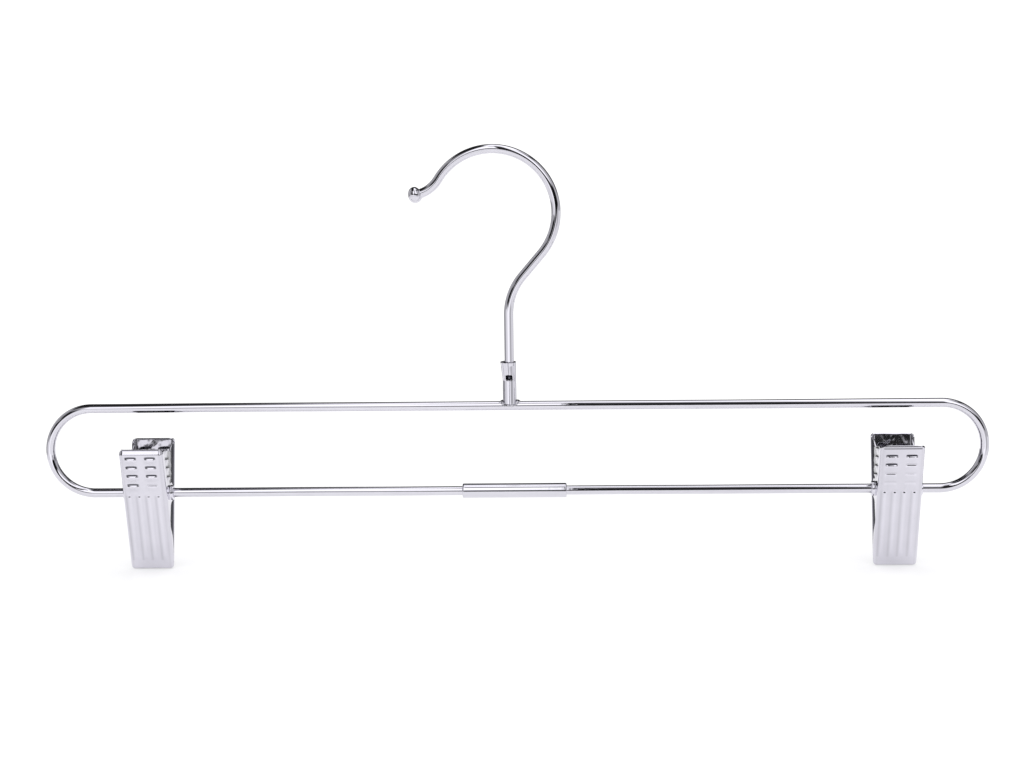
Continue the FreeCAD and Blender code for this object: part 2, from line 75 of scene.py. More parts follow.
# ------------------------------------------------------------------ positions
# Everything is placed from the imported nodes, in millimetres.
def node_box(name):
    lo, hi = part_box(name)
    return np.array(lo) / MM, np.array(hi) / MM


WIRE_R = 1.75
f_lo, f_hi = node_box("frame_wire")
ZB = f_lo[2] + WIRE_R                       # lower rail
ZT = f_hi[2] - WIRE_R                       # upper rail
BEND_R = (ZT - ZB) / 2
ZM = (ZT + ZB) / 2
XL = f_lo[0] + WIRE_R + BEND_R              # centres of the end bends
XR = f_hi[0] - WIRE_R - BEND_R
XM = (f_lo[0] + f_hi[0]) / 2
s_lo, s_hi = node_box("joining_sleeve")
c_lo, c_hi = node_box("swivel_ferrule")
SX = (c_lo[0] + c_hi[0]) / 2                # axis of the shank
FOOT, MOUTH = c_lo[2], c_hi[2]
h_lo, h_hi = node_box("hook")
l_lo, l_hi = node_box("left_back_jaw")
r_lo, r_hi = node_box("right_back_jaw")
CLIP_X = {"left": (l_lo[0] + l_hi[0]) / 2, "right": (r_lo[0] + r_hi[0]) / 2}

rng = np.random.default_rng(20)


# --------------------------------------------------------------- mesh utilities
def make(name, verts, faces, uvs=None, weld=0.0, weighted=True, sharp=None, painted_shade=None):
    """Mesh object from vertices in millimetres; uvs are per vertex, in metres."""
    v = np.asarray(verts, float) * MM
    me = bpy.data.meshes.new(name)
    me.from_pydata(v.tolist(), [], [list(map(int, f)) for f in faces])
    if uvs is not None:
        lay = me.uv_layers.new(name="UVMap")
        idx = np.zeros(len(me.loops), np.int32)
        me.loops.foreach_get("vertex_index", idx)
        lay.data.foreach_set("uv", np.asarray(uvs, np.float32)[idx].ravel())
    # per-vertex painted shade, read by the plated materials to darken the base colour and raise the roughness
    at = me.attributes.new("painted_shade", "FLOAT", "POINT")
    at.data.foreach_set("value", np.asarray(painted_shade if painted_shade is not None else np.zeros(len(v)), np.float32))
    bm = bmesh.new()
    bm.from_mesh(me)
    if weld:
        bmesh.ops.remove_doubles(bm, verts=bm.verts, dist=weld * MM)
    bmesh.ops.recalc_face_normals(bm, faces=bm.faces)
    for f in bm.faces:
        f.smooth = True
    if sharp:
        for e in bm.edges:
            if len(e.link_faces) == 2 and e.calc_face_angle(0.0) > math.radians(sharp):
                e.smooth = False
    bm.to_mesh(me)
    bm.free()
    me.validate()
    ob = bpy.data.objects.new(name, me)
    bpy.context.scene.collection.objects.link(ob)
    if weighted:
        m = ob.modifiers.new("weighted", "WEIGHTED_NORMAL")
        m.keep_sharp = True
        m.weight = 50
    return ob


def lattice(nu, nv, close_v=True, start=0):
    """Quads of a grid stored row by row (nu rows of nv points)."""
    i = np.arange(nu - 1)[:, None]
    j = np.arange(nv if close_v else nv - 1)[None, :]
    k = (j + 1) % nv
    a = start + i * nv + j
    b = start + i * nv + k
    c = start + (i + 1) * nv + k
    d = start + (i + 1) * nv + j
    return np.stack([a, b, c, d], -1).reshape(-1, 4)


def sweep(path, radii, sides=48, side_vec=None, ripple=None, caps=True):
    """Round bar along a path. Rows carry their own radius; side_vec is a
    direction that is never along the path. Returns vertices, faces, uvs."""
    P = np.asarray(path, float)
    n = len(P)
    T = np.gradient(P, axis=0)
    T /= np.linalg.norm(T, axis=1)[:, None]
    side = np.tile(np.asarray(side_vec if side_vec is not None else (0, 1, 0), float), (n, 1)) \
        if side_vec is None or np.ndim(side_vec) == 1 else np.asarray(side_vec, float)
    B = side - (side * T).sum(1)[:, None] * T
    B /= np.linalg.norm(B, axis=1)[:, None]
    A = np.cross(B, T)
    a = np.linspace(0, 2 * pi, sides, endpoint=False)
    R = np.broadcast_to(np.asarray(radii, float), (n,))[:, None] * np.ones((1, sides))
    if ripple is not None:
        R = R + ripple(np.arange(n)[:, None], a[None, :])
    V = P[:, None, :] + R[..., None] * (np.cos(a)[None, :, None] * A[:, None, :]
                                        + np.sin(a)[None, :, None] * B[:, None, :])
    s = np.r_[0, np.cumsum(np.linalg.norm(np.diff(P, axis=0), axis=1))]
    uv = np.stack(np.broadcast_arrays(s[:, None] * MM, (a[None, :] * WIRE_R) * MM), -1).reshape(-1, 2)
    F = lattice(n, sides).tolist()
    V = V.reshape(-1, 3)
    if caps:
        F.append(list(range(sides))[::-1])
        F.append(list(range((n - 1) * sides, n * sides)))
    return V, F, uv


def arc_pts(cx, cz, r, a0, a1, step):
    n = max(3, int(abs(math.radians(a1 - a0)) * r / step) + 1)
    a = np.radians(np.linspace(a0, a1, n))
    return np.c_[cx + r * np.cos(a), np.zeros(n), cz + r * np.sin(a)]


def line_pts(p, q, step):
    p, q = np.array(p, float), np.array(q, float)
    n = max(2, int(np.linalg.norm(q - p) / step) + 1)
    t = np.linspace(0, 1, n)[:, None]
    return p * (1 - t) + q * t


def join(*parts):
    out = [parts[0]]
    for p in parts[1:]:
        if np.linalg.norm(p[0] - out[-1][-1]) < 1e-6:
            p = p[1:]
        out.append(p)
    return np.vstack(out)


def smooth01(t):
    t = np.clip(t, 0, 1)
    return t * t * (3 - 2 * t)


# ------------------------------------------------------------------------ hook
def build_hook():
    RB, RN, LS, RT = 23.5, 22.0, 10.9, 12.0
    cz = 3.5 / 2 - RB + (h_hi[2] - 3.5)
    tip = np.array([-28.436, -14.821])
    b = math.acos((SX + RN) / math.hypot(RB + RN, LS)) - math.atan2(LS, RB + RN)
    j2 = np.array([RB * cos(b), cz - RB * sin(b)])
    j1 = j2 - np.array([LS * sin(b), LS * cos(b)])
    c1 = np.array([SX + RN, j1[1] - RN * sin(b)])
    bc = np.array([0.0, cz])
    dv = tip - bc
    L = np.hypot(*dv)
    ang = math.atan2(dv[1], dv[0]) - math.acos((L * L + (RB + RT) ** 2 - RT ** 2) / (2 * L * (RB + RT)))
    c3 = bc + np.array([cos(ang), sin(ang)]) * (RB + RT)
    a_end = math.degrees(ang) % 360
    s0 = math.degrees(math.atan2(tip[1] - c3[1], tip[0] - c3[0]))
    s1 = a_end + 180
    while s1 - s0 > 360:
        s1 -= 360
    foot = h_lo[2]
    bd = math.degrees(b)
    P = join(line_pts((SX, 0, foot), (SX, 0, c1[1]), 0.35),
             arc_pts(c1[0], c1[1], RN, 180, 180 - bd, 0.4),
             line_pts((j1[0], 0, j1[1]), (j2[0], 0, j2[1]), 0.5),
             arc_pts(0, cz, RB, -bd, a_end, 0.4),
             arc_pts(c3[0], c3[1], RT, s1, s0, 0.3))
    s = np.r_[0, np.cumsum(np.linalg.norm(np.diff(P, axis=0), axis=1))]
    # finer rows at the groove, the chamfer and the ball
    end_dir = P[-1] - P[-2]
    end_dir /= np.linalg.norm(end_dir)
    total = s[-1]
    rows = np.unique(np.round(np.r_[0, 0.05, 0.15, 0.3, 0.45,
                                    np.arange(0.8, total - 5.5, 0.45),
                                    7.10, 7.2, 7.24, 7.3, 7.4, 9.8, 9.92, 9.98, 10.02, 10.1, 10.2,
                                    np.arange(total - 5.5, total + 2.4, 0.09),
                                    total + 2.42, total + 2.46, total + 2.485, total + 2.498], 4))

    def place(v):
        if v <= total:
            return np.array([np.interp(v, s, P[:, k]) for k in range(3)])
        return P[-1] + end_dir * (v - total)
    path = np.array([place(v) for v in rows])
    r = np.full(len(rows), WIRE_R)
    foot_c = np.clip(rows / 0.45, 0, 1)
    r = np.where(rows < 0.45, WIRE_R - 0.45 * (1 - np.sqrt(np.clip(1 - (1 - foot_c) ** 2, 0, 1))), r)
    g = smooth01((rows - 7.1) / 0.22) * (1 - smooth01((rows - 9.88) / 0.22))
    r = r - 0.55 * g
    # headed ball: flatter towards the wire, rounder outside, with a small neck
    d = rows - total
    ball = np.zeros_like(r)
    m = np.abs(d) < 2.5
    q = np.abs(d[m]) / 2.5
    e = np.where(d[m] < 0, 2.1, 2.15)
    ball[m] = 2.95 * (1 - q ** e) ** (1 / e)
    wire = np.where(d > -0.8, 0.0, r)
    k = 0.35                                   # small fillet where the ball meets the wire
    hsm = np.clip(0.5 + 0.5 * (ball - wire) / k, 0, 1)
    r = np.where(d > -4.5, wire * (1 - hsm) + ball * hsm + k * hsm * (1 - hsm), r)
    r = np.maximum(r, 0.05)
    # hand-scale unevenness of drawn and bent wire
    r = r * (1 - 0.002 * (1 + np.sin(rows * 0.21)) * (rows > 14) * (d < -6))

    def ripple(i, a):
        dd = d[i]
        onball = np.exp(-(dd / 2.0) ** 2)
        return onball * (0.05 * np.cos(2 * a + 0.6) + 0.03 * np.cos(3 * a + 2.0)) \
            - 0.010 * (1 + np.cos(2 * a)) * smooth01((rows[i] - 34) / 6) * smooth01((-8 - dd) / 4)
    V, F, uv = sweep(path, r, sides=56, ripple=ripple)
    painted_shade_inside = smooth01((-78.2 - V[:, 2]) / 0.6) * 0.93          # painted shade on the wire inside the ferrule
    return make("hook_wire", V, F, uv, weighted=False, sharp=50, painted_shade=painted_shade_inside)


# ------------------------------------------------------------------ frame wire
def build_frame():
    gap = 0.3
    P = join(line_pts((XM + gap, 0, ZB), (XR, 0, ZB), 2.5),
             arc_pts(XR, ZM, BEND_R, -90, 90, 0.5),
             line_pts((XR, 0, ZT), (XL, 0, ZT), 2.5),
             arc_pts(XL, ZM, BEND_R, 90, 270, 0.5),
             line_pts((XL, 0, ZB), (XM - gap, 0, ZB), 2.5))
    s = np.r_[0, np.cumsum(np.linalg.norm(np.diff(P, axis=0), axis=1))]
    tot = s[-1]
    ends = np.r_[0, 0.08, 0.2, 0.35]
    rows = np.unique(np.round(np.r_[ends, s[(s > 0.5) & (s < tot - 0.5)], tot - ends], 5))
    path = np.stack([np.interp(rows, s, P[:, k]) for k in range(3)], 1)
    edge = np.minimum(rows, tot - rows)
    r = WIRE_R - 0.35 * (1 - np.clip(edge / 0.35, 0, 1)) ** 2
    # straights are never dead straight: a few hundredths of bow between the bends
    x = path[:, 0]
    inner = smooth01((x - XL - 4) / 40) * smooth01((XR - 4 - x) / 40)
    up = path[:, 2] > ZM
    bow = np.where(up, 0.05 * np.sin((x - XL) * 0.019 + 0.4) + 0.03 * np.sin(x * 0.047), 0)
    away = smooth01(np.abs(x - SX) / 12)
    path[:, 2] += bow * inner * away
    low_w = np.clip(np.minimum(np.abs(x - s_lo[0]), np.abs(x - s_hi[0])) / 25, 0, 1) * ((x < s_lo[0]) | (x > s_hi[0]))
    path[:, 2] += np.where(up, 0, 0.02 * np.sin(x * 0.06)) * inner * low_w
    # the wire flattens a little where it is bent
    bend = np.where(x > XR, smooth01((x - XR) / 6), np.where(x < XL, smooth01((XL - x) / 6), 0))

    def ripple(i, a):
        return bend[i] * (-0.03 * (1 + np.cos(2 * a)) / 2) + 0.006 * np.sin(rows[i] * 0.13 + a)
    V, F, uv = sweep(path, r, sides=56, ripple=ripple)
    return make("wire_frame", V, F, uv, weighted=False, sharp=50)


# --------------------------------------------------------------------- sleeve
def build_sleeve():
    x0, x1 = s_lo[0], s_hi[0]
    R, B, rd = 2.75, 1.78, 0.5
    prof = [(x0 + 0.55, B), (x0 + 0.12, B), (x0 + 0.03, B + 0.04), (x0, B + 0.12)]
    for a in np.linspace(0, 90, 9):
        prof.append((x0 + rd - rd * cos(math.radians(a)), R - rd + rd * sin(math.radians(a))))
    for x in np.linspace(x0 + 0.8, x1 - 0.8, 150):
        prof.append((x, R))
    for a in np.linspace(90, 0, 9):
        prof.append((x1 - rd + rd * cos(math.radians(a)), R - rd + rd * sin(math.radians(a))))
    prof += [(x1, B + 0.12), (x1 - 0.03, B + 0.04), (x1 - 0.12, B), (x1 - 0.55, B)]
    for x in np.linspace(x1 - 3, x0 + 3, 8):
        prof.append((x, B))
    prof = np.array(prof)
    n, sides = len(prof), 96
    a = np.linspace(0, 2 * pi, sides, endpoint=False)       # 0 = towards the viewer, up = 90
    X = np.repeat(prof[:, :1], sides, 1)
    Rr = np.repeat(prof[:, 1:], sides, 1)
    outer = (Rr > 2.2)
    A = np.repeat(a[None, :], n, 0)
    # pressed marks that grip the two wire ends, and a slight swell from pressing
    dep = np.zeros_like(X)
    for xc, ac, wx, wa, dd in ((x1 - 1.3, 2.9, 1.6, 0.5, 0.012), (x0 + 1.1, 2.9, 1.6, 0.5, 0.015)):
        da = (A - ac + pi) % (2 * pi) - pi
        dep += dd * np.exp(-((X - xc) / wx) ** 2 - (da / wa) ** 2)
    dep += 0.008 * (1 - np.cos(2 * (A - 0.5))) * smooth01((X - x0) / 6) * smooth01((x1 - X) / 6)
    # fine seam of the rolled tube, low at the back
    da = (A - math.radians(235) + pi) % (2 * pi) - pi
    dep += 0.10 * np.exp(-(da / 0.05) ** 2)
    Rr = Rr - np.where(outer, dep, 0)
    Y = -Rr * np.cos(A)
    Z = ZB + Rr * np.sin(A)
    V = np.stack([X, Y, Z], -1).reshape(-1, 3)
    F = lattice(n, sides)
    last = np.stack([np.arange(sides), (np.arange(sides) + 1) % sides], 1)
    base = (n - 1) * sides
    close = np.stack([base + last[:, 0], base + last[:, 1], last[:, 1], last[:, 0]], 1)
    uv = np.stack([X * MM, A * R * MM], -1).reshape(-1, 2)
    return make("joining_tube", V, np.vstack([F, close]), uv, weighted=True)


# ------------------------------------------------------- sheets cut from a flat
def inside(poly, pts):
    """Points within a closed polygon."""
    x, y = pts[:, 0], pts[:, 1]
    res = np.zeros(len(pts), bool)
    n = len(poly)
    for i in range(n):
        x0, y0 = poly[i]
        x1, y1 = poly[(i + 1) % n]
        if y0 == y1:
            continue
        c = ((y0 > y) != (y1 > y)) & (x < (x1 - x0) * (y - y0) / (y1 - y0) + x0)
        res ^= c
    return res


def edge_distance(poly, pts):
    d = np.full(len(pts), 1e9)
    n = len(poly)
    for i in range(n):
        a, b = poly[i], poly[(i + 1) % n]
        ab = b - a
        L = ab @ ab
        if L < 1e-12:
            continue
        t = np.clip(((pts - a) @ ab) / L, 0, 1)
        q = a + t[:, None] * ab
        d = np.minimum(d, np.hypot(*(pts - q).T))
    return d


def resample(poly, step, closed=True):
    P = np.asarray(poly, float)
    if closed:
        P = np.vstack([P, P[:1]])
    s = np.r_[0, np.cumsum(np.hypot(*np.diff(P, axis=0).T))]
    n = max(8, int(round(s[-1] / step)))
    t = np.linspace(0, s[-1], n, endpoint=not closed)
    return np.stack([np.interp(t, s, P[:, 0]), np.interp(t, s, P[:, 1])], 1)


def chaikin(P, times=2, closed=False):
    P = np.asarray(P, float)
    for _ in range(times):
        Q = []
        n = len(P)
        if not closed:
            Q.append(P[0])
        for i in range(n if closed else n - 1):
            a, b = P[i], P[(i + 1) % n]
            Q += [a * 0.75 + b * 0.25, a * 0.25 + b * 0.75]
        if not closed:
            Q.append(P[-1])
        P = np.array(Q)
    return P


def inset(poly, d):
    """Moves a counter-clockwise outline inwards by d."""
    P = np.asarray(poly)
    a = np.roll(P, 1, 0)
    b = np.roll(P, -1, 0)
    t = b - a
    t /= np.maximum(np.hypot(*t.T), 1e-9)[:, None]
    return P + d * np.stack([-t[:, 1], t[:, 0]], 1)


def ccw(P):
    x, y = P.T
    area = (x * np.roll(y, -1) - np.roll(x, -1) * y).sum()
    return P if area > 0 else P[::-1]


def circle_pts(c, r, n):
    a = np.linspace(0, 2 * pi, n, endpoint=False)
    return np.stack([c[0] + r * np.cos(a), c[1] + r * np.sin(a)], 1)


def fill(outline, holes, grid_pts, clear):
    """Triangles of a flat region with holes and given inner points."""
    keep = inside(outline, grid_pts) & (edge_distance(outline, grid_pts) > clear)
    for h in holes:
        keep &= ~inside(h, grid_pts) & (edge_distance(h, grid_pts) > clear)
    g = grid_pts[keep]
    loops = [outline] + list(holes)
    pts, edges, k = [], [], 0
    for lp in loops:
        n = len(lp)
        pts.append(lp)
        edges += [(k + i, k + (i + 1) % n) for i in range(n)]
        k += n
    pts = np.vstack(pts + [g])
    co, _, tri, _, _, _ = delaunay_2d_cdt([Vector(p) for p in pts.tolist()], edges, [], 0, 1e-7)
    co = np.array([tuple(c) for c in co])
    tri = np.array([t for t in tri if len(t) == 3])
    mid = co[tri].mean(1)
    ok = inside(outline, mid)
    for h in holes:
        ok &= ~inside(h, mid)
    return co, tri[ok]


# ------------------------------------------------------------------------ jaws
TH = math.radians(12.93)
HALF, FACE, SHEET, BEND = 8.3, 7.355, 0.6, 1.6
UP, DOWN = 20.85, 28.68
BEND_LEN = BEND * pi / 2
FLAT = HALF - BEND


def to_jaw(y, z):
    return (y * cos(TH) + z * sin(TH), -y * sin(TH) + z * cos(TH))


def depth_to_s(depth):
    return FLAT + BEND_LEN + (depth - BEND)


def jaw_outline(front):
    """Right half of the flat blank as (s, z), from the top middle downwards."""
    if front:
        edge = [(1.2, 15.9), (1.9, 14.9), (1.9, 13.4), (0.6, 12.2), (1.9, 11.0),
                (2.2, 9.9), (0.3, 8.75), (1.7, 7.6), (1.9, 6.4), (-0.6, 5.3), (-2.2, 4.9)]
        er = 3.9
        arc = [(er * cos(math.radians(a)), er * sin(math.radians(a))) for a in range(102, -93, -6)]
        low = [(-1.3, -4.7), (-2.9, -9.3), (-3.6, -11.8), (-1.7, -14.8), (-0.25, -17.2), (-0.14, -24.0), (-0.12, -29.2)]
    else:
        edge = [(-7.0, 16.4), (-3.2, 14.0), (0.2, 11.0), (0.9, 9.6), (0.9, 4.6)]
        er = 3.7
        arc = [(er * cos(math.radians(a)), er * sin(math.radians(a))) for a in range(66, -67, -6)]
        low = [(0.6, -5.0), (0.2, -13.5), (-0.15, -17.2), (-0.14, -24.0), (-0.12, -29.2)]
    e = [to_jaw(*p) for p in edge]
    a = [to_jaw(*p) for p in arc]
    lo = [to_jaw(*p) for p in low]
    first = [(3.27 - FACE, 19.3)] if front else [(1.0 - FACE, 19.9)]
    e = chaikin(np.array(first + e), 2)[1:]
    lo = chaikin(np.array(lo), 1)
    run = np.vstack([e, a, lo])
    side = [(depth_to_s(p[0] + FACE), p[1]) for p in run]
    top = [(0, UP), (3.5, UP), (5.8, UP), (6.6, UP - 0.05), (7.3, UP - 0.22), (8.0, UP - 0.55),
           (8.7, UP - 1.0)]
    if front and UP < 21:                    # softer corners on this pressing
        top = [(0, UP), (3.5, UP), (5.2, UP), (6.2, UP - 0.12), (7.0, UP - 0.42), (7.7, UP - 0.9), (8.4, UP - 1.35)]
    elif front:
        top[-2:] = [(8.0, UP - 0.62), (8.7, UP - 1.3)]
    top += [(9.6, 19.45), (depth_to_s(3.27), 19.3)] if front else [(depth_to_s(1.05), UP - 1.3)]
    bot_s = depth_to_s(0.97) + 0.0
    side = [p for p in side if p[1] > -DOWN + 3.4]
    end_d = side[-1][0]
    corner = [(min(end_d, bot_s + 0.1), -DOWN + 2.6), (8.75, -DOWN + 1.5), (8.45, -DOWN + 0.7),
              (8.0, -DOWN + 0.2), (7.4, -DOWN), (3.0, -DOWN), (0, -DOWN)]
    return top + side + corner


def jaw_map(sz, front, sgn_front=1):
    """Outside surface of the folded blank: position and outward normal in the
    jaw's own axes (x across, y away from the viewer, z up the plate)."""
    s, z = sz[:, 0], sz[:, 1]
    a = np.abs(s)
    sg = np.sign(s)
    th = np.clip((a - FLAT) / BEND, 0, pi / 2)
    x = np.where(a < FLAT, a, FLAT + BEND * np.sin(th))
    dep = np.where(a < FLAT, 0, BEND * (1 - np.cos(th)))
    fl = np.maximum(a - FLAT - BEND_LEN, 0)
    dep = dep + fl
    nx, ny = np.sin(th), -np.cos(th)
    if not front:                            # stepped in, so that it nests inside the front jaw
        t = (dep - BEND - 0.02) / 0.9
        step = 0.75 * smooth01(t)
        slope = np.where((t > 0) & (t < 1), 0.75 / 0.9 * 6 * t * (1 - t), 0)
        x = x - step
        m = np.hypot(1, slope)
        nx2, ny2 = 1 / m, slope / m
        nx = np.where(fl > 0, nx2, nx)
        ny = np.where(fl > 0, ny2, ny)
    P = np.stack([sg * x, -FACE + dep, z], 1)
    N = np.stack([sg * nx, ny, np.zeros_like(nx)], 1)
    # rolled lip at the top, turned in a little at the bottom
    for sign, zc, Rc in ((1, UP - 0.95, 0.95), (-1, -DOWN + 0.55, 0.7)):
        over = np.maximum(sign * (z - zc), 0)
        ph = over / Rc
        dz = Rc * np.sin(ph) - over
        dy = Rc * (1 - np.cos(ph))
        w = np.ones_like(a)
        P[:, 2] += sign * dz
        P[:, 1] += dy * w * np.abs(np.cos(th))
        # turn the normal
        c, q = np.cos(ph), np.sin(ph) * sign
        ny_, nz_ = N[:, 1] * c - 0 * q, -N[:, 1] * q * np.abs(np.cos(th))
        mask = over > 0
        N[mask, 1] = ny_[mask]
        N[mask, 2] = nz_[mask]
    N /= np.linalg.norm(N, axis=1)[:, None]
    return P, N


RIB_X = ((-6.1, -1.7), (1.3, 5.5))
FLUTE_X = (-5.8, -2.05, 1.47, 5.2)


def emboss(sz, strength, front):
    """Raised pattern of the stamping, in millimetres outwards."""
    s, z = sz[:, 0], sz[:, 1]
    h = np.zeros(len(s))
    # thumb grip: two columns of pads, each with an abrupt upper edge
    rows, amp, turn = strength
    for i, zr in enumerate(rows):
        for j, (xa, xb) in enumerate(RIB_X):
            xc, hw = (xa + xb) / 2, (xb - xa) / 2
            u = (s - xc) / hw
            top = zr - 0.18 - 0.20 * np.clip(np.abs(u), 0, 1.3) ** 4
            t = top - z
            rise = smooth01(t / 0.5)
            fall = np.where(t < 0.5, 1, np.cos(np.clip((t - 0.5) / 2.3, 0, 1) * pi / 2) ** 1.5)
            wx = smooth01((1.28 - np.abs(u)) / 0.75)
            h += amp[i][j] * rise * fall * wx
        # the same grip carried round onto the flanges
        if front:
            for sg in (-1, 1):
                d = sg * s - depth_to_s(0.0)
                t = zr + 1.6 - 0.42 * (d - 4.0) - z
                rise = smooth01(t / 0.34)
                fall = np.where(t < 0.36, 1, np.cos(np.clip((t - 0.36) / 2.2, 0, 1) * pi / 2) ** 2)
                wx = smooth01((d - 3.6) / 0.8) * smooth01((8.3 - d) / 0.9)
                h += 0.42 * rise * fall * wx
    # flutes down the gripping half, rounded at both ends
    for xf in FLUTE_X:
        zt, zb_ = 2.15, -24.9
        dz = np.maximum(np.maximum(z - (zt - 0.95), (zb_ + 0.95) - z), 0)
        r = np.hypot(s - xf, dz) / 1.12
        h += 0.30 * np.cos(np.clip(r, 0, 1) * pi / 2) ** 1.6
    if turn:                                 # thumb edge turned back
        over = np.clip(z - 18.85, 0, 1.6)
        h -= turn * over * smooth01((10.4 - np.abs(s)) / 2.2)
    # pressing leaves the plate faintly crowned
    a = np.clip(1 - (np.abs(s) / 7.4) ** 2, 0, 1)
    h += 0.06 * a * np.sin(np.clip((z + DOWN) / (UP + DOWN), 0, 1) * pi)
    return h


def axis_list(spans):
    out = []
    for a, b, st in spans:
        n = max(1, int(round((b - a) / st)))
        out += list(np.linspace(a, b, n, endpoint=False))
    out.append(spans[-1][1])
    return np.array(out)


def build_jaw(name, side, front, strength):
    global UP
    UP = {("left", True): 21.65, ("right", True): 20.9}.get((side, front), 21.22)
    right = jaw_outline(front)
    left = [(-s, z) for s, z in right[::-1]]
    outline = ccw(np.array(right + left[1:-1]))
    outline = ccw(resample(outline, 0.4))
    hole_c = [(depth_to_s(FACE) * sg, 0.0) for sg in (1, -1)]
    NH = 56
    edge_r = 0.13
    fine = True
    ss = axis_list([(-21.0, -8.9, 0.42), (-8.9, -7.3, 0.2), (-7.3, 7.3, 0.21), (7.3, 8.9, 0.2), (8.9, 21.0, 0.42)])
    zz = axis_list([(-29.0, -26.6, 0.3), (-26.6, -24.6, 0.2), (-24.6, 0.6, 0.6), (0.6, 2.4, 0.15),
                    (2.4, 6.0, 0.3), (6.0, 17.6, 0.145), (17.6, 19.3, 0.24), (19.3, 21.6, 0.12)])
    G = np.stack(np.meshgrid(ss, zz), -1).reshape(-1, 2)
    ss2 = axis_list([(-21.0, -8.9, 0.6), (-8.9, -7.3, 0.25), (-7.3, 7.3, 0.36), (7.3, 8.9, 0.25), (8.9, 21.0, 0.6)])
    zz2 = axis_list([(-29.0, -24.6, 0.45), (-24.6, 0.6, 0.9), (0.6, 2.4, 0.3), (2.4, 6.0, 0.45),
                     (6.0, 17.6, 0.3), (17.6, 19.3, 0.3), (19.3, 21.6, 0.18)])
    G2 = np.stack(np.meshgrid(ss2, zz2), -1).reshape(-1, 2)
    in_line = inset(outline, edge_r)

    def surf(sz, t):
        """Point of the folded sheet, t below its outside surface."""
        P, N = jaw_map(sz, front)
        h = emboss(sz, strength, front)
        if not front:                        # the pressing's inner face isn't quite flat
            q = smooth01((sz[:, 1] - 13.0) / 2.0) * smooth01((6.4 - np.abs(sz[:, 0])) / 1.5) * np.clip(t / SHEET, 0, 1)
            h = h + q * (0.06 * np.sin(0.42 * sz[:, 0] + 1.15 * sz[:, 1] + 1.2 * np.sin(0.5 * sz[:, 0]))
                         + 0.02 * np.sin(1.7 * sz[:, 0] - 0.8 * sz[:, 1]))
        return P + N * (h - t)[:, None]

    V, F, U, K = [], [], [], []
    n0 = 0

    def add(verts, faces, uv, painted_dark=None):
        nonlocal n0
        V.append(verts)
        F.extend((np.asarray(faces) + n0).tolist())
        U.append(uv)
        K.append(np.zeros(len(verts)) if painted_dark is None else painted_dark)
        n0 += len(verts)

    def shade(sz, inner):
        """Painted shade, with a few painted highlights: dark inside the channel, on the back jaw's flanges, along the
        grip rows, across the flutes, inside the rolled rim and on the front flanges.
        """
        a = np.abs(sz[:, 0])
        fl = smooth01((a - depth_to_s(BEND) + 0.4) / 1.2)
        # painted shade on the inner faces, darker still on the flanges
        if inner:
            return np.full(len(sz), 0.34) + 0.5 * fl
        z_ = sz[:, 1]
        painted_dark = np.full(len(sz), 0.075)
        # painted shade and painted highlight across each flute: darker along its left side, lighter near its crest
        flute_span = smooth01((2.6 - z_) / 0.7) * smooth01((z_ + 25.4) / 0.7)
        for xf in FLUTE_X:
            r = (sz[:, 0] - xf) / 1.12
            painted_dark += flute_span * (0.11 * np.exp(-((r + 0.95) / 0.45) ** 2) - 0.075 * np.exp(-((r - 0.15) / 0.6) ** 2))
        rows, amp, turn = strength
        # painted shade: a dark line along the abrupt upper edge of each grip pad, as dark as the pad stands high, with
        # a painted highlight below it; on the front jaw, matching dark lines on the flanges
        for i, zr in enumerate(rows):
            for j, (xa, xb) in enumerate(RIB_X):
                u = (sz[:, 0] - (xa + xb) / 2) / ((xb - xa) / 2)
                d = z_ - (zr - 0.20 * np.clip(np.abs(u), 0, 1.3) ** 4)
                k = np.exp(-((d - 0.06) / 0.34) ** 4) * smooth01((1.08 - np.abs(u)) / 0.2)
                painted_dark += min(1.4, 2.6 * amp[i][j] * min(1.0, amp[i][j] / 0.4) ** 1.5) * k
                painted_dark -= 0.075 * np.exp(-((d + 0.75) / 0.4) ** 2) * smooth01((1.1 - np.abs(u)) / 0.2)
            if front:
                dp = a - depth_to_s(0.0)
                d = z_ - (zr + 1.6 - 0.42 * (dp - 4.0))
                painted_dark += 1.0 * np.exp(-(d / 0.5) ** 4) * smooth01((dp - 3.0) / 0.7) * smooth01((9.8 - dp) / 0.7)
        # painted shade: a dark line inside the rolled rim and a fainter one down each side; painted light towards the
        # bottom of the plate
        painted_dark += 0.85 * np.exp(-((z_ - (UP - (1.0 if turn else 1.35))) / 0.2) ** 4) * smooth01((7.3 - a) / 0.6)
        painted_dark -= 0.06 * smooth01((-19 - z_) / 7.0)
        painted_dark += 0.07 * np.exp(-((a - 7.1) / 0.4) ** 2)
        # painted shade on the front jaw's outer flanges, darker towards their free edge
        if front:
            painted_dark += (0.16 * smooth01((a - depth_to_s(2.4)) / 0.8) + 0.5 * smooth01((a - depth_to_s(6.0)) / 1.2)) * smooth01((z_ - 3.0) / 1.0)
        # the back jaw's flanges are painted fully dark as shade
        return np.clip(painted_dark, 0, 1) * (1 - (0 if front else 1) * fl) + (0.0 if front else 1.0) * fl

    ro = 3.2 if front else 1.8 + 0.14
    ri = 2.35 if front else 1.8 + 0.14
    co, tri = fill(in_line, [circle_pts(c, ro, NH) for c in hole_c], G, 0.09)
    add(surf(co, np.zeros(len(co))), tri, co * MM, shade(co, False))
    co, tri = fill(in_line, [circle_pts(c, ri, NH) for c in hole_c], G2, 0.12)
    add(surf(co, np.full(len(co), SHEET)), tri[:, ::-1], co * MM, shade(co, True))
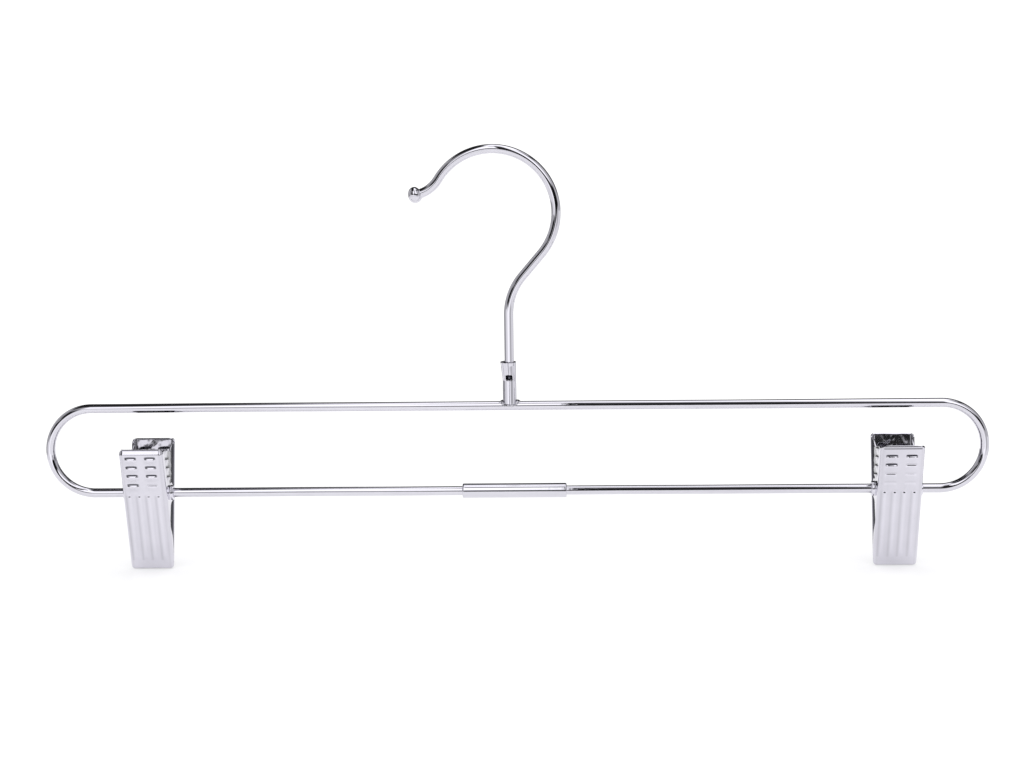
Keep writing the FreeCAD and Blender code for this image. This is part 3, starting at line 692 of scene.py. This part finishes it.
    # rounded edge of the sheet
    rings = []
    for off, t in ((edge_r, 0.0), (edge_r * 0.3, edge_r * 0.3), (0, edge_r), (0, SHEET / 2), (0, SHEET - edge_r),
                   (edge_r * 0.3, SHEET - edge_r * 0.3), (edge_r, SHEET)):
        q = inset(outline, off) if off else outline
        rings.append(surf(q, np.full(len(q), t)))
    n = len(outline)
    add(np.vstack(rings), lattice(len(rings), n), np.tile(outline * MM, (len(rings), 1)))
    # hinge holes
    a = np.linspace(0, 2 * pi, NH, endpoint=False)
    for c in hole_c:
        sg = 1 if c[0] > 0 else -1
        if front:
            prof = [(3.2, 0.0), (3.02, 0.02), (2.88, 0.10), (2.81, 0.22), (2.80, 0.40), (2.80, 1.02), (2.76, 1.12), (2.66, 1.19),
                    (2.5, 1.20), (2.05, 1.20), (1.9, 1.17), (1.82, 1.08), (1.8, 0.95), (1.8, 0.1), (1.82, -0.2), (1.9, -0.42),
                    (2.08, -0.56), (2.35, -0.6)]
        else:
            prof = [(1.94, 0.0), (1.84, -0.04), (1.8, -0.14), (1.8, -0.46), (1.84, -0.56), (1.94, -0.6)]
        rows, uv = [], []
        for r, hgt in prof:
            sz = np.stack([c[0] + r * np.cos(a), c[1] + r * np.sin(a)], 1)
            P, N = jaw_map(sz, front)
            rows.append(P + N * (hgt + emboss(sz, strength, front) * (1 if abs(hgt) < 0.05 or abs(hgt + 0.6) < 0.05 else 0))[:, None])
            uv.append(sz * MM)
        add(np.vstack(rows), lattice(len(prof), NH), np.vstack(uv))
    V = np.vstack(V)
    U = np.vstack(U)
    # lean the jaw, and turn the back one round
    y = V[:, 1] * cos(TH) - V[:, 2] * sin(TH)
    z = V[:, 1] * sin(TH) + V[:, 2] * cos(TH)
    x = V[:, 0].copy()
    if not front:
        x, y = -x, -y
    V = np.stack([x + CLIP_X[side], y, z + ZB], 1)
    return make(name, V, F, U, weld=2e-4, weighted=True, painted_shade=np.concatenate(K))


# --------------------------------------------------------------------- springs
def build_spring(name, side):
    R, pitch, turns, leg, r = 2.75, 1.2, 4.3611, 15.4, 0.55
    a0 = math.radians(205)
    n = int(turns * 44)
    a = a0 + np.linspace(0, turns * 2 * pi, n)
    x = np.linspace(-pitch * turns / 2, pitch * turns / 2, n)
    H = np.stack([x, R * np.cos(a), R * np.sin(a)], 1)
    t0 = H[1] - H[0]
    t0 /= np.linalg.norm(t0)
    t1 = H[-1] - H[-2]
    t1 /= np.linalg.norm(t1)
    d = np.r_[0.0, 0.05, 0.14, 0.3, np.arange(0.8, leg, 0.7)]
    L0 = H[0] - t0 * (leg - d)[:, None]
    L1 = (H[-1] + t1 * (leg - d)[:, None])[::-1]
    P = np.vstack([L0, H, L1])
    rr = np.full(len(P), r)
    k = np.array([0.30, 0.42, 0.51, 0.55])
    rr[:4] = k
    rr[-4:] = k[::-1]
    P[:, 0] += CLIP_X[side]
    P[:, 2] += ZB
    V, F, uv = sweep(P, rr, sides=18, side_vec=(1, 0, 0))
    return make(name, V, F, uv, weighted=False, sharp=50)


# --------------------------------------------------------------------- ferrule
def build_ferrule():
    RO, RI, CO, CI = 2.57, 1.8, 2.95, 2.15
    z1 = MOUTH - 5.9
    half = pi - 0.014                        # the rolled edges meet at the front
    RR = 2.6                                 # radius that the flat blank is measured at
    wz, ww, wh = -82.95, 2.8, 1.7

    def foot(u):
        th = u / RR                          # 0 at the back, +-pi at the front seam
        y = RO * np.cos(th)
        return np.maximum(FOOT, ZT + np.sqrt(np.clip(1.78 ** 2 - y * y, 0, None)))

    uu = np.linspace(-half * RR, half * RR, 81)
    bottom = [(u, float(foot(np.array([u]))[0])) for u in uu]
    e = half * RR
    win = (pi - ww / 2 / RO) * RR
    right = [(e, wz - wh / 2 - 0.12), (e - 0.12, wz - wh / 2), (win + 0.2, wz - wh / 2), (win, wz - wh / 2 + 0.2),
             (win, wz + wh / 2 - 0.2), (win + 0.2, wz + wh / 2), (e - 0.12, wz + wh / 2), (e, wz + wh / 2 + 0.12)]
    topz = MOUTH
    top = [(u, topz - 0.10 * (1 - math.cos(u / RR * 1.0)) * 0.5) for u in uu[::-1]]
    left = [(-u, z) for u, z in right[::-1]]
    outline = ccw(resample(np.array(bottom + right + top + left), 0.22))

    def wall(uz, t):
        """t = 0 outside, 1 inside."""
        th = uz[:, 0] / RR
        z = uz[:, 1]
        k = np.clip((z - (z1 - 1.2)) / (MOUTH - z1 + 1.2), 0, 1)
        flare = 0.05 * smooth01((z - (MOUTH - 1.5)) / 1.5)
        ro = RO + (CO - RO) * k + flare - 0.05 * (1 - k) * smooth01((z + 88) / 4)
        ri = RI + (CI - RI) * smooth01((z - (z1 - 0.1)) / 0.8) + flare
        r = ro * (1 - t) + ri * t
        lean = -0.42 * k
        lob = 1 + 0.012 * np.cos(2 * th + 0.7) * k
        # rolled edges stand a touch unevenly at the seam
        seam = np.exp(-((np.abs(th) - pi) / 0.22) ** 2)
        r = r * lob - 0.05 * seam * np.sign(th)
        x = SX + lean - r * np.sin(th)
        y = r * np.cos(th)
        return np.stack([x, y, z], 1)

    g = np.stack(np.meshgrid(np.linspace(-e, e, 84), axis_list([(FOOT, z1 - 0.8, 0.5), (z1 - 0.8, z1 + 0.6, 0.14), (z1 + 0.6, MOUTH, 0.3)])), -1).reshape(-1, 2)
    er = 0.09
    inl = inset(outline, er)
    V, F, U = [], [], []
    n0 = 0
    for t in (0.0, 1.0):
        co, tri = fill(inl, [], g, 0.08)
        V.append(wall(co, np.full(len(co), t)))
        F += (tri + n0).tolist()
        U.append(co * MM)
        n0 += len(co)
    rings = []
    for off, t in ((er, 0.0), (er * 0.3, 0.05), (0, 0.16), (0, 0.5), (0, 0.84), (er * 0.3, 0.95), (er, 1.0)):
        q = inset(outline, off) if off else outline
        rings.append(wall(q, np.full(len(q), t)))
    V.append(np.vstack(rings))
    F += (lattice(len(rings), len(outline)) + n0).tolist()
    U.append(np.tile(outline * MM, (len(rings), 1)))
    n0 += len(rings) * len(outline)
    # tab pressed in at the top of the window: a tongue that dips into the groove
    zt_, w2 = wz + wh / 2 - 0.02, 0.9
    path = np.array([(0, -2.52, zt_ + 0.25), (0, -2.35, zt_ + 0.02), (0, -2.0, zt_ - 0.2), (0, -1.6, zt_ - 0.3), (0, -1.34, zt_ - 0.32)])
    path = chaikin(path[:, 1:], 2)
    tt = 0.24
    rows = []
    for i, (y, z) in enumerate(path):
        d = path[min(i + 1, len(path) - 1)] - path[max(i - 1, 0)]
        d /= np.hypot(*d)
        nrm = np.array([-d[1], d[0]])
        ww2 = w2 * (1 - 0.15 * (i / (len(path) - 1)) ** 3)
        sec = [(-ww2, -tt), (-ww2 + 0.08, -tt - 0.05), (ww2 - 0.08, -tt - 0.05), (ww2, -tt), (ww2, tt), (ww2 - 0.08, tt + 0.05),
               (-ww2 + 0.08, tt + 0.05), (-ww2, tt)]
        rows.append([(SX - 0.02 + sx_, y + nrm[0] * q, z + nrm[1] * q) for sx_, q in sec])
    rows = np.array(rows).reshape(-1, 3)
    n_tab = len(rows)
    V.append(rows)
    f = lattice(len(path), 8).tolist()
    f += [list(range(8))[::-1], list(range((len(path) - 1) * 8, len(path) * 8))]
    F += [[i + n0 for i in q] for q in f]
    U.append(rows[:, [0, 2]] * MM)
    V = np.vstack(V)
    painted_dark = np.zeros(len(V))
    # painted shade: the pressed-in tab is painted black and the tube's inner wall darker
    painted_dark[-n_tab:] = 1.0
    axis_d = np.hypot(V[:, 0] - SX, V[:, 1])
    painted_dark[:-n_tab] = np.where(axis_d[:-n_tab] < 2.25, 0.25, 0.0)
    return make("ferrule_tube", V, F, np.vstack(U), weld=2e-4, weighted=True, painted_shade=painted_dark)


def build_weld():
    """Fillet of weld where the ferrule saddles the rail."""
    n, m = 120, 22
    ph = np.linspace(0, 2 * pi, n, endpoint=False)
    lump = (0.10 * np.sin(3 * ph + 0.8) + 0.08 * np.sin(5 * ph + 2.1) + 0.06 * np.sin(9 * ph + 0.3)
            + 0.04 * np.sin(17 * ph + 1.0))
    rc = 2.72 + 0.12 * np.cos(2 * ph) + 0.25 * lump
    rb = 0.62 + 0.13 * np.cos(2 * ph) + 0.8 * lump * 0.7
    xc, yc = rc * np.cos(ph), rc * np.sin(ph)
    zc = ZT + np.sqrt(np.clip(1.62 ** 2 - yc ** 2 * 0.62, 0.16, None)) - 0.02 + 0.15 * lump
    a = np.linspace(0, 2 * pi, m, endpoint=False)
    V = []
    for i in range(n):
        rad = np.array([cos(ph[i]), sin(ph[i]), 0])
        for q in a:
            k = rb[i] * (1 + 0.05 * sin(3 * q + 5 * ph[i]))
            stretch = 1.15 if cos(q) > 0 else 0.9
            V.append([SX + xc[i] + rad[0] * k * cos(q) * stretch, yc[i] + rad[1] * k * cos(q) * stretch, zc[i] + k * sin(q) * 0.85])
    V = np.array(V)
    F = lattice(n, m).tolist()
    base = (n - 1) * m
    for j in range(m):
        k = (j + 1) % m
        F.append([base + j, base + k, k, j])
    # two beads of spatter beside it
    n0 = len(V)
    for (bx, by, bz, br) in ((3.55, -0.7, ZT + 1.5, 0.42), (-3.6, -0.75, ZT + 1.48, 0.45), (3.3, 0.9, ZT + 1.4, 0.4)):
        us, vs = 16, 10
        pts = []
        for v in range(1, vs):
            t = pi * v / vs
            for u in range(us):
                p = 2 * pi * u / us
                rr = br * (1 + 0.08 * sin(2 * p + bx) * sin(t))
                pts.append([SX + bx + rr * 1.25 * sin(t) * cos(p), by + rr * sin(t) * sin(p), bz + rr * 0.8 * cos(t)])
        pts.append([SX + bx, by, bz + br * 0.8])
        pts.append([SX + bx, by, bz - br * 0.8])
        V = np.vstack([V, pts])
        F += (lattice(vs - 1, us) + n0).tolist()
        for u in range(us):
            F.append([n0 + (u + 1) % us, n0 + u, n0 + len(pts) - 2])
            F.append([n0 + (vs - 2) * us + u, n0 + (vs - 2) * us + (u + 1) % us, n0 + len(pts) - 1])
        n0 += len(pts)
    return make("weld_fillet", V, F, V[:, [0, 2]] * MM, weighted=False)


# ------------------------------------------------------------------- materials
def nodes_of(mat):
    mat.use_nodes = True
    nt = mat.node_tree
    nt.nodes.clear()
    return nt


def link(nt, a, b):
    nt.links.new(a, b)


def noise(nt, vec, scale, detail=3.0, rough=0.5, distort=0.0):
    n = nt.nodes.new("ShaderNodeTexNoise")
    n.inputs["Scale"].default_value = scale
    n.inputs["Detail"].default_value = detail
    n.inputs["Roughness"].default_value = rough
    n.inputs["Distortion"].default_value = distort
    link(nt, vec, n.inputs["Vector"])
    return n.outputs["Fac"]


def ranged(nt, val, a, b, c, d):
    m = nt.nodes.new("ShaderNodeMapRange")
    m.inputs["From Min"].default_value = a
    m.inputs["From Max"].default_value = b
    m.inputs["To Min"].default_value = c
    m.inputs["To Max"].default_value = d
    link(nt, val, m.inputs["Value"])
    return m.outputs["Result"]


def math_n(nt, op, a, b=None):
    m = nt.nodes.new("ShaderNodeMath")
    m.operation = op
    for k, v in enumerate((a, b)):
        if v is None:
            continue
        if isinstance(v, (int, float)):
            m.inputs[k].default_value = v
        else:
            link(nt, v, m.inputs[k])
    return m.outputs[0]


def plated(name, tone, dark_tone, rough, spread, streak=(30, 900), bump=0.02, haze=0.0, pits=0.0):
    """Bright plating: faint blotches of tone, drawn or rolled streaks, rubbed
    patches where it's handled, hairline scratches and a slight orange peel;
    painted shade darkens it to near-black where the mesh's painted shade attribute is set."""
    mat = bpy.data.materials.new(name)
    nt = nodes_of(mat)
    out = nt.nodes.new("ShaderNodeOutputMaterial")
    bs = nt.nodes.new("ShaderNodeBsdfPrincipled")
    link(nt, bs.outputs["BSDF"], out.inputs["Surface"])
    tc = nt.nodes.new("ShaderNodeTexCoord")
    mp = nt.nodes.new("ShaderNodeMapping")
    mp.inputs["Scale"].default_value = (streak[0], streak[1], 1)
    link(nt, tc.outputs["UV"], mp.inputs["Vector"])
    grain = noise(nt, mp.outputs["Vector"], 1.0, 4.0, 0.6)
    blotch = noise(nt, tc.outputs["Object"], 60, 3.0, 0.55, 0.3)
    peel = noise(nt, tc.outputs["Object"], 700, 2.0, 0.5)
    fine = noise(nt, tc.outputs["Object"], 3200, 2.0, 0.5)
    # tone
    mix = nt.nodes.new("ShaderNodeMix")
    mix.data_type = "RGBA"
    mix.inputs["A"].default_value = (*tone, 1)
    mix.inputs["B"].default_value = (*dark_tone, 1)
    f = math_n(nt, "ADD", ranged(nt, blotch, 0.35, 0.75, 0.0, 0.7), ranged(nt, grain, 0.55, 0.8, 0.0, 0.3))
    link(nt, f, mix.inputs["Factor"])
    # painted shade: where the painted shade attribute is set, the base colour is mixed toward near-black (0.022, 0.022,
    # 0.032) and the roughness is raised a little
    at = nt.nodes.new("ShaderNodeAttribute")
    at.attribute_name = "painted_shade"
    painted_shade_mix = nt.nodes.new("ShaderNodeMix")
    painted_shade_mix.data_type = "RGBA"
    painted_shade_mix.inputs["B"].default_value = (0.022, 0.022, 0.032, 1)
    painted_shade_fac = math_n(nt, "MULTIPLY", at.outputs["Fac"], ranged(nt, blotch, 0.52, 0.66, 1.0, 0.96))
    link(nt, painted_shade_fac, painted_shade_mix.inputs["Factor"])
    link(nt, mix.outputs["Result"], painted_shade_mix.inputs["A"])
    link(nt, painted_shade_mix.outputs["Result"], bs.inputs["Base Color"])
    bs.inputs["Metallic"].default_value = 1.0
    # gloss
    r = math_n(nt, "ADD", ranged(nt, blotch, 0.3, 0.8, rough, rough + spread),
               ranged(nt, grain, 0.45, 0.8, 0.0, spread * 0.8))
    if haze:
        hz = noise(nt, tc.outputs["Object"], 140, 4.0, 0.6, 0.8)
        r = math_n(nt, "ADD", r, ranged(nt, hz, 0.52, 0.68, 0.0, haze))
    r = math_n(nt, "ADD", r, math_n(nt, "MULTIPLY", at.outputs["Fac"], 0.10))
    link(nt, r, bs.inputs["Roughness"])
    # relief
    vor = nt.nodes.new("ShaderNodeTexVoronoi")
    vor.feature = "DISTANCE_TO_EDGE"
    vor.inputs["Scale"].default_value = 1.0
    mp2 = nt.nodes.new("ShaderNodeMapping")
    mp2.inputs["Scale"].default_value = (streak[0] * 4, streak[1] * 0.8, 1)
    mp2.inputs["Rotation"].default_value = (0, 0, 0.06)
    link(nt, tc.outputs["UV"], mp2.inputs["Vector"])
    link(nt, mp2.outputs["Vector"], vor.inputs["Vector"])
    scr = ranged(nt, vor.outputs["Distance"], 0.0, 0.02, -0.35, 0.0)
    hgt = math_n(nt, "ADD", math_n(nt, "MULTIPLY", peel, 0.6), math_n(nt, "MULTIPLY", fine, 0.12))
    hgt = math_n(nt, "ADD", hgt, math_n(nt, "MULTIPLY", grain, 0.35))
    hgt = math_n(nt, "ADD", hgt, math_n(nt, "MULTIPLY", scr, 0.5))
    if pits:
        pv = noise(nt, tc.outputs["Object"], 1500, 3.0, 0.7)
        hgt = math_n(nt, "ADD", hgt, ranged(nt, pv, 0.5, 0.75, 0.0, -pits))
    bp = nt.nodes.new("ShaderNodeBump")
    bp.inputs["Strength"].default_value = bump
    bp.inputs["Distance"].default_value = 0.0002
    link(nt, hgt, bp.inputs["Height"])
    link(nt, bp.outputs["Normal"], bs.inputs["Normal"])
    return mat


CHROME = (0.665, 0.655, 0.708)
MATS = {
    "chromed_wire": plated("bright_wire", CHROME, (0.62, 0.605, 0.66), 0.004, 0.016, (40, 1400), 0.015),
    "chromed_tube": plated("bright_tube", CHROME, (0.62, 0.61, 0.665), 0.004, 0.016, (1200, 40), 0.014, haze=0.012),
    "plated_weld": plated("plated_weld_metal", (0.66, 0.65, 0.70), (0.45, 0.44, 0.47), 0.14, 0.12, (700, 700), 0.35, haze=0.1, pits=0.6),
    "chromed_sheet": plated("bright_sheet", (0.715, 0.700, 0.765), (0.64, 0.63, 0.69), 0.025, 0.045, (500, 45), 0.04, haze=0.04),
    "spring_wire": plated("spring_steel", (0.50, 0.49, 0.50), (0.34, 0.33, 0.34), 0.16, 0.12, (60, 1800), 0.12, haze=0.08),
}


def finish_piece(ob, node, body, slot, mat=None):
    ob.data.materials.clear()
    ob.data.materials.append(MATS[mat or slot])
    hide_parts(node)
    if body:
        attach(ob, body)
    return ob


# --------------------------------------------------------------------- assemble
finish_piece(build_hook(), "hook", "hook", "chromed_wire")
finish_piece(build_frame(), "frame_wire", "frame", "chromed_wire")
finish_piece(build_sleeve(), "joining_sleeve", "frame", "chromed_tube")
finish_piece(build_ferrule(), "swivel_ferrule", "frame", "chromed_tube")
finish_piece(build_weld(), "ferrule_weld", "frame", "plated_weld")
# heights of the grip rows on each clip, how high they stand, how far the thumb edge turns back
STRENGTH = {
    "left": ((17.75, 14.1, 10.6, 6.8), ((0.38, 0.38), (0.38, 0.38), (0.38, 0.38), (0.37, 0.17)), 0.53),
    "right": ((16.8, 13.35, 9.75, 6.2), ((0.40, 0.40), (0.39, 0.18), (0.16, 0.12), (0.14, 0.12)), 0.0),
}
for side in ("left", "right"):
    for front in (True, False):
        tag = "front" if front else "back"
        st = STRENGTH[side] if front else (STRENGTH[side][0], ((0.12, 0.12),) + ((0.50, 0.50),) * 3, 0.0)
        finish_piece(build_jaw("%s_%s_clip_plate" % (side, tag), side, front, st),
                     "%s_%s_jaw" % (side, tag), "%s_%s" % (side, tag), "chromed_sheet")
    sp = finish_piece(build_spring("%s_clip_spring" % side, side), "%s_torsion_spring" % side, None, "spring_wire")
    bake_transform(sp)


# ----------------------------------------------------------------------- studio
def build_floor():
    n = 60
    R = 0.30
    V, F = [(0, 0, 0)], []
    rad = np.linspace(0.15, 1, 10) * R
    for r in rad:
        for k in range(n):
            a = 2 * pi * k / n
            V.append((r * cos(a), r * sin(a), 0))
    for k in range(n):
        F.append((0, 1 + k, 1 + (k + 1) % n))
    for i in range(len(rad) - 1):
        for k in range(n):
            a = 1 + i * n + k
            b = 1 + i * n + (k + 1) % n
            F.append((a, b, b + n, a + n))
    me = bpy.data.meshes.new("studio_floor")
    me.from_pydata(V, [], F)
    ob = bpy.data.objects.new("studio_floor", me)
    ob.location = (0, 0, cad_box[0][2] - 0.00015)
    bpy.context.scene.collection.objects.link(ob)
    mat = bpy.data.materials.new("floor_gloss_white")
    nt = nodes_of(mat)
    out = nt.nodes.new("ShaderNodeOutputMaterial")
    tc = nt.nodes.new("ShaderNodeTexCoord")
    nz = noise(nt, tc.outputs["Object"], 9, 3.0, 0.5)
    matt = nt.nodes.new("ShaderNodeBsdfDiffuse")
    matt.inputs["Color"].default_value = (0.64, 0.64, 0.645, 1)
    gloss = nt.nodes.new("ShaderNodeBsdfGlossy")
    link(nt, ranged(nt, nz, 0.3, 0.7, 0.10, 0.18), gloss.inputs["Roughness"])
    coat = nt.nodes.new("ShaderNodeMixShader")
    coat.inputs[0].default_value = 0.055
    link(nt, matt.outputs[0], coat.inputs[1])
    link(nt, gloss.outputs[0], coat.inputs[2])
    glow = nt.nodes.new("ShaderNodeEmission")
    glow.inputs["Color"].default_value = (0.36, 0.36, 0.365, 1)
    glow.inputs["Strength"].default_value = 1.0
    flute_span = nt.nodes.new("ShaderNodeAddShader")
    link(nt, coat.outputs[0], flute_span.inputs[0])
    link(nt, glow.outputs[0], flute_span.inputs[1])
    link(nt, flute_span.outputs[0], out.inputs["Surface"])
    me.materials.append(mat)


build_floor()


def build_world():
    w = bpy.data.worlds.new("studio")
    bpy.context.scene.world = w
    w.use_nodes = True
    nt = w.node_tree
    nt.nodes.clear()
    out = nt.nodes.new("ShaderNodeOutputWorld")
    tc = nt.nodes.new("ShaderNodeTexCoord")
    sep = nt.nodes.new("ShaderNodeSeparateXYZ")
    link(nt, tc.outputs["Generated"], sep.inputs[0])
    x, y, z = sep.outputs
    az = math_n(nt, "MULTIPLY", math_n(nt, "ARCTAN2", x, math_n(nt, "MULTIPLY", y, -1.0)), 180 / pi)
    zc = math_n(nt, "MINIMUM", math_n(nt, "MAXIMUM", z, -1.0), 1.0)
    el = math_n(nt, "MULTIPLY", math_n(nt, "ARCSINE", zc), 180 / pi)

    def step(val, at, soft):
        m = nt.nodes.new("ShaderNodeMapRange")
        m.interpolation_type = "SMOOTHSTEP"
        m.inputs["From Min"].default_value = at - soft
        m.inputs["From Max"].default_value = at + soft
        link(nt, val, m.inputs["Value"])
        return m.outputs["Result"]

    def band(val, lo, hi, s0, s1):
        a = step(val, lo, s0) if lo is not None else None
        b = step(val, hi, s1) if hi is not None else None
        if a is None:
            return math_n(nt, "SUBTRACT", 1.0, b)
        if b is None:
            return a
        return math_n(nt, "SUBTRACT", a, b)

    cur = None

    def panel(value, a0, a1, e0, e1, sa=(3, 3), se=(3, 3), tilt=0.0, about=0.0, fac=1.0):
        """A lamp (bright) or a flag (dark) seen between these bearings."""
        nonlocal cur
        e = el
        if tilt:
            e = math_n(nt, "SUBTRACT", el, math_n(nt, "MULTIPLY", math_n(nt, "SUBTRACT", az, about), tilt))
        m = band(e, e0, e1, se[0], se[1])
        if a0 is not None or a1 is not None:
            m = math_n(nt, "MULTIPLY", m, band(az, a0, a1, sa[0], sa[1]))
        if fac != 1.0:
            m = math_n(nt, "MULTIPLY", m, fac)
        d = math_n(nt, "SUBTRACT", value, cur)
        cur = math_n(nt, "ADD", cur, math_n(nt, "MULTIPLY", d, m))

    # base: dim studio walls, lighter to the right
    cur = math_n(nt, "ADD", 0.50, math_n(nt, "MULTIPLY", step(az, 60, 60), 0.18))
    panel(0.36, -100, -35, 22, 50, (22, 10), (8, 6))
    panel(0.62, -150, -100, 5, 46, (10, 12), (6, 6))
    # broad overhead lamp, and its gap to the left
    panel(1.65, None, None, 66, None, se=(4, 3))
    panel(0.02, -160, -27, 48, 80, (10, 4), (3.0, 2))
    # rear wall, lit
    panel(0.95, 142, None, 8, 60, (10, 3), (6, 6))
    panel(0.80, None, -152, 8, 60, (3, 10), (6, 6))
    panel(0.02, 136, None, 7, 61, (8, 3), (3, 3))
    panel(0.02, None, -136, 7, 59, (3, 8), (3, 3))
    panel(0.10, 104, 165, 10, 50, (8, 4), (4, 4))
    # right: bright window lamp, dark strip over the wall
    panel(1.60, 16.5, 47, 13, 70, (1.5, 9), (4, 6))
    panel(0.72, 47, 64, 24, 52, (8, 10), (6, 5))
    panel(0.05, 60, 138, 51.0, 58, (7, 8), (1.6, 1.4), tilt=-0.13, about=80)
    panel(0.10, 132, 150, 38, 45, (8, 8), (2, 2), tilt=-0.2, about=140)
    # tall light to the left of the middle, narrow flag right of it
    panel(1.60, -22, 0.0, 8, 90, (3.0, 0.25), (3, 3))
    panel(0.60, -22, 0.8, -2, 8, (3.0, 1.0), (1.5, 3))
    panel(0.03, -11, 1.5, 59, 71, (3, 1.5), (1.5, 1.5))
    panel(0.03, -5.2, 1.2, 4, 17, (1.4, 1), (2.0, 2.0))
    panel(0.20, -14, -5.2, 9, 17, (3, 1), (1.5, 1.5))
    panel(0.03, 0.0, 12.0, 15, 60, (0.12, 1.4), (4, 6))
    panel(0.03, -0.02, 15.0, -1.5, 24, (0.1, 1.5), (1.5, 4))
    panel(0.66, 0, 22, 66, 82, (5, 6), (4, 5))
    # dark band low at the back, behind the sweep
    panel(0.42, 120, None, -2, 8, (12, 3), (2, 3))
    panel(0.42, None, -120, -2, 8, (3, 12), (2, 3))
    # below the horizon: the sweep of the floor, carried on past its edge
    panel(1.0, None, None, None, -2.2, se=(3, 0.8))
    panel(0.42, -176, -80, -13.5, -2, (5, 12), (2, 1))
    panel(1.45, -30, 14, -13.5, -5.2, (8, 8), (2, 1))
    panel(0.58, 28, 60, -13.5, -2, (6, 8), (2, 1))
    panel(0.70, 128, 176, -13.5, -2, (12, 5), (2, 1))
    # low dark flags either side of the lens
    panel(0.006, 15, 62, -2.0, 14.0, (0.9, 12), (1.2, 3.0), tilt=0.17, about=34)
    panel(0.01, -66, -23, -2.0, 12.5, (12, 3), (1.5, 3.4), tilt=-0.18, about=-34)
    panel(0.01, -15, 17, -5.4, 0.2, (4, 4), (0.8, 1.2))
    panel(0.02, -60, -25, 10, 27, (8, 3), (3, 4), tilt=-0.55, about=-34)
    gl = nt.nodes.new("ShaderNodeBackground")
    rgb = nt.nodes.new("ShaderNodeCombineColor")
    link(nt, cur, rgb.inputs[0])
    link(nt, cur, rgb.inputs[1])
    link(nt, math_n(nt, "MULTIPLY", cur, 1.015), rgb.inputs[2])
    link(nt, rgb.outputs[0], gl.inputs["Color"])
    soft = nt.nodes.new("ShaderNodeBackground")
    soft.inputs["Color"].default_value = (1, 1, 1, 1)
    soft.inputs["Strength"].default_value = 1.16
    lp = nt.nodes.new("ShaderNodeLightPath")
    flat = math_n(nt, "MAXIMUM", lp.outputs["Is Camera Ray"], lp.outputs["Is Diffuse Ray"])
    mx = nt.nodes.new("ShaderNodeMixShader")
    link(nt, flat, mx.inputs[0])
    link(nt, gl.outputs[0], mx.inputs[1])
    link(nt, soft.outputs[0], mx.inputs[2])
    link(nt, mx.outputs[0], out.inputs["Surface"])


build_world()


def soft_lamp(name, loc, aim, size, power):
    li = bpy.data.lights.new(name, "AREA")
    li.shape = "RECTANGLE"
    li.size, li.size_y = size
    li.energy = power
    ob = bpy.data.objects.new(name, li)
    ob.location = loc
    ob.rotation_euler = (Vector(aim) - Vector(loc)).to_track_quat("-Z", "Y").to_euler()
    ob.visible_glossy = False
    bpy.context.scene.collection.objects.link(ob)


soft_lamp("overhead_soft", (0.1, 0.2, 1.6), (0, 0, -0.1), (1.6, 1.2), 3.0)

# ----------------------------------------------------------------------- camera
yaw, pitch, roll = math.radians(-1.697), math.radians(9.466), math.radians(-0.723)
f = Vector((sin(yaw), cos(yaw), 0))
r = Vector((cos(yaw), -sin(yaw), 0))
u = Vector((0, 0, 1))
f2 = f * cos(pitch) - u * sin(pitch)
u2 = u * cos(pitch) + f * sin(pitch)
rr = r * cos(roll) + u2 * sin(roll)
uu = u2 * cos(roll) - r * sin(roll)
cam_data = bpy.data.cameras.new("view")
cam_data.sensor_width = 36
cam_data.sensor_fit = "HORIZONTAL"
cam_data.lens = 36 * 1732.2 / 1035
cam_data.clip_start = 0.01
cam_data.clip_end = 50
cam = bpy.data.objects.new("view", cam_data)
m = Matrix.Identity(4)
for i in range(3):
    m[i][0], m[i][1], m[i][2] = rr[i], uu[i], -f2[i]
m[0][3], m[1][3], m[2][3] = 0.02746, -0.640, 0.02007
cam.matrix_world = m
bpy.context.scene.collection.objects.link(cam)
bpy.context.scene.camera = cam
vs = bpy.context.scene.view_settings
vs.view_transform = "Standard"
vs.look = "None"
vs.exposure = 0.0
vs.gamma = 1.0

bpy.context.view_layer.update()
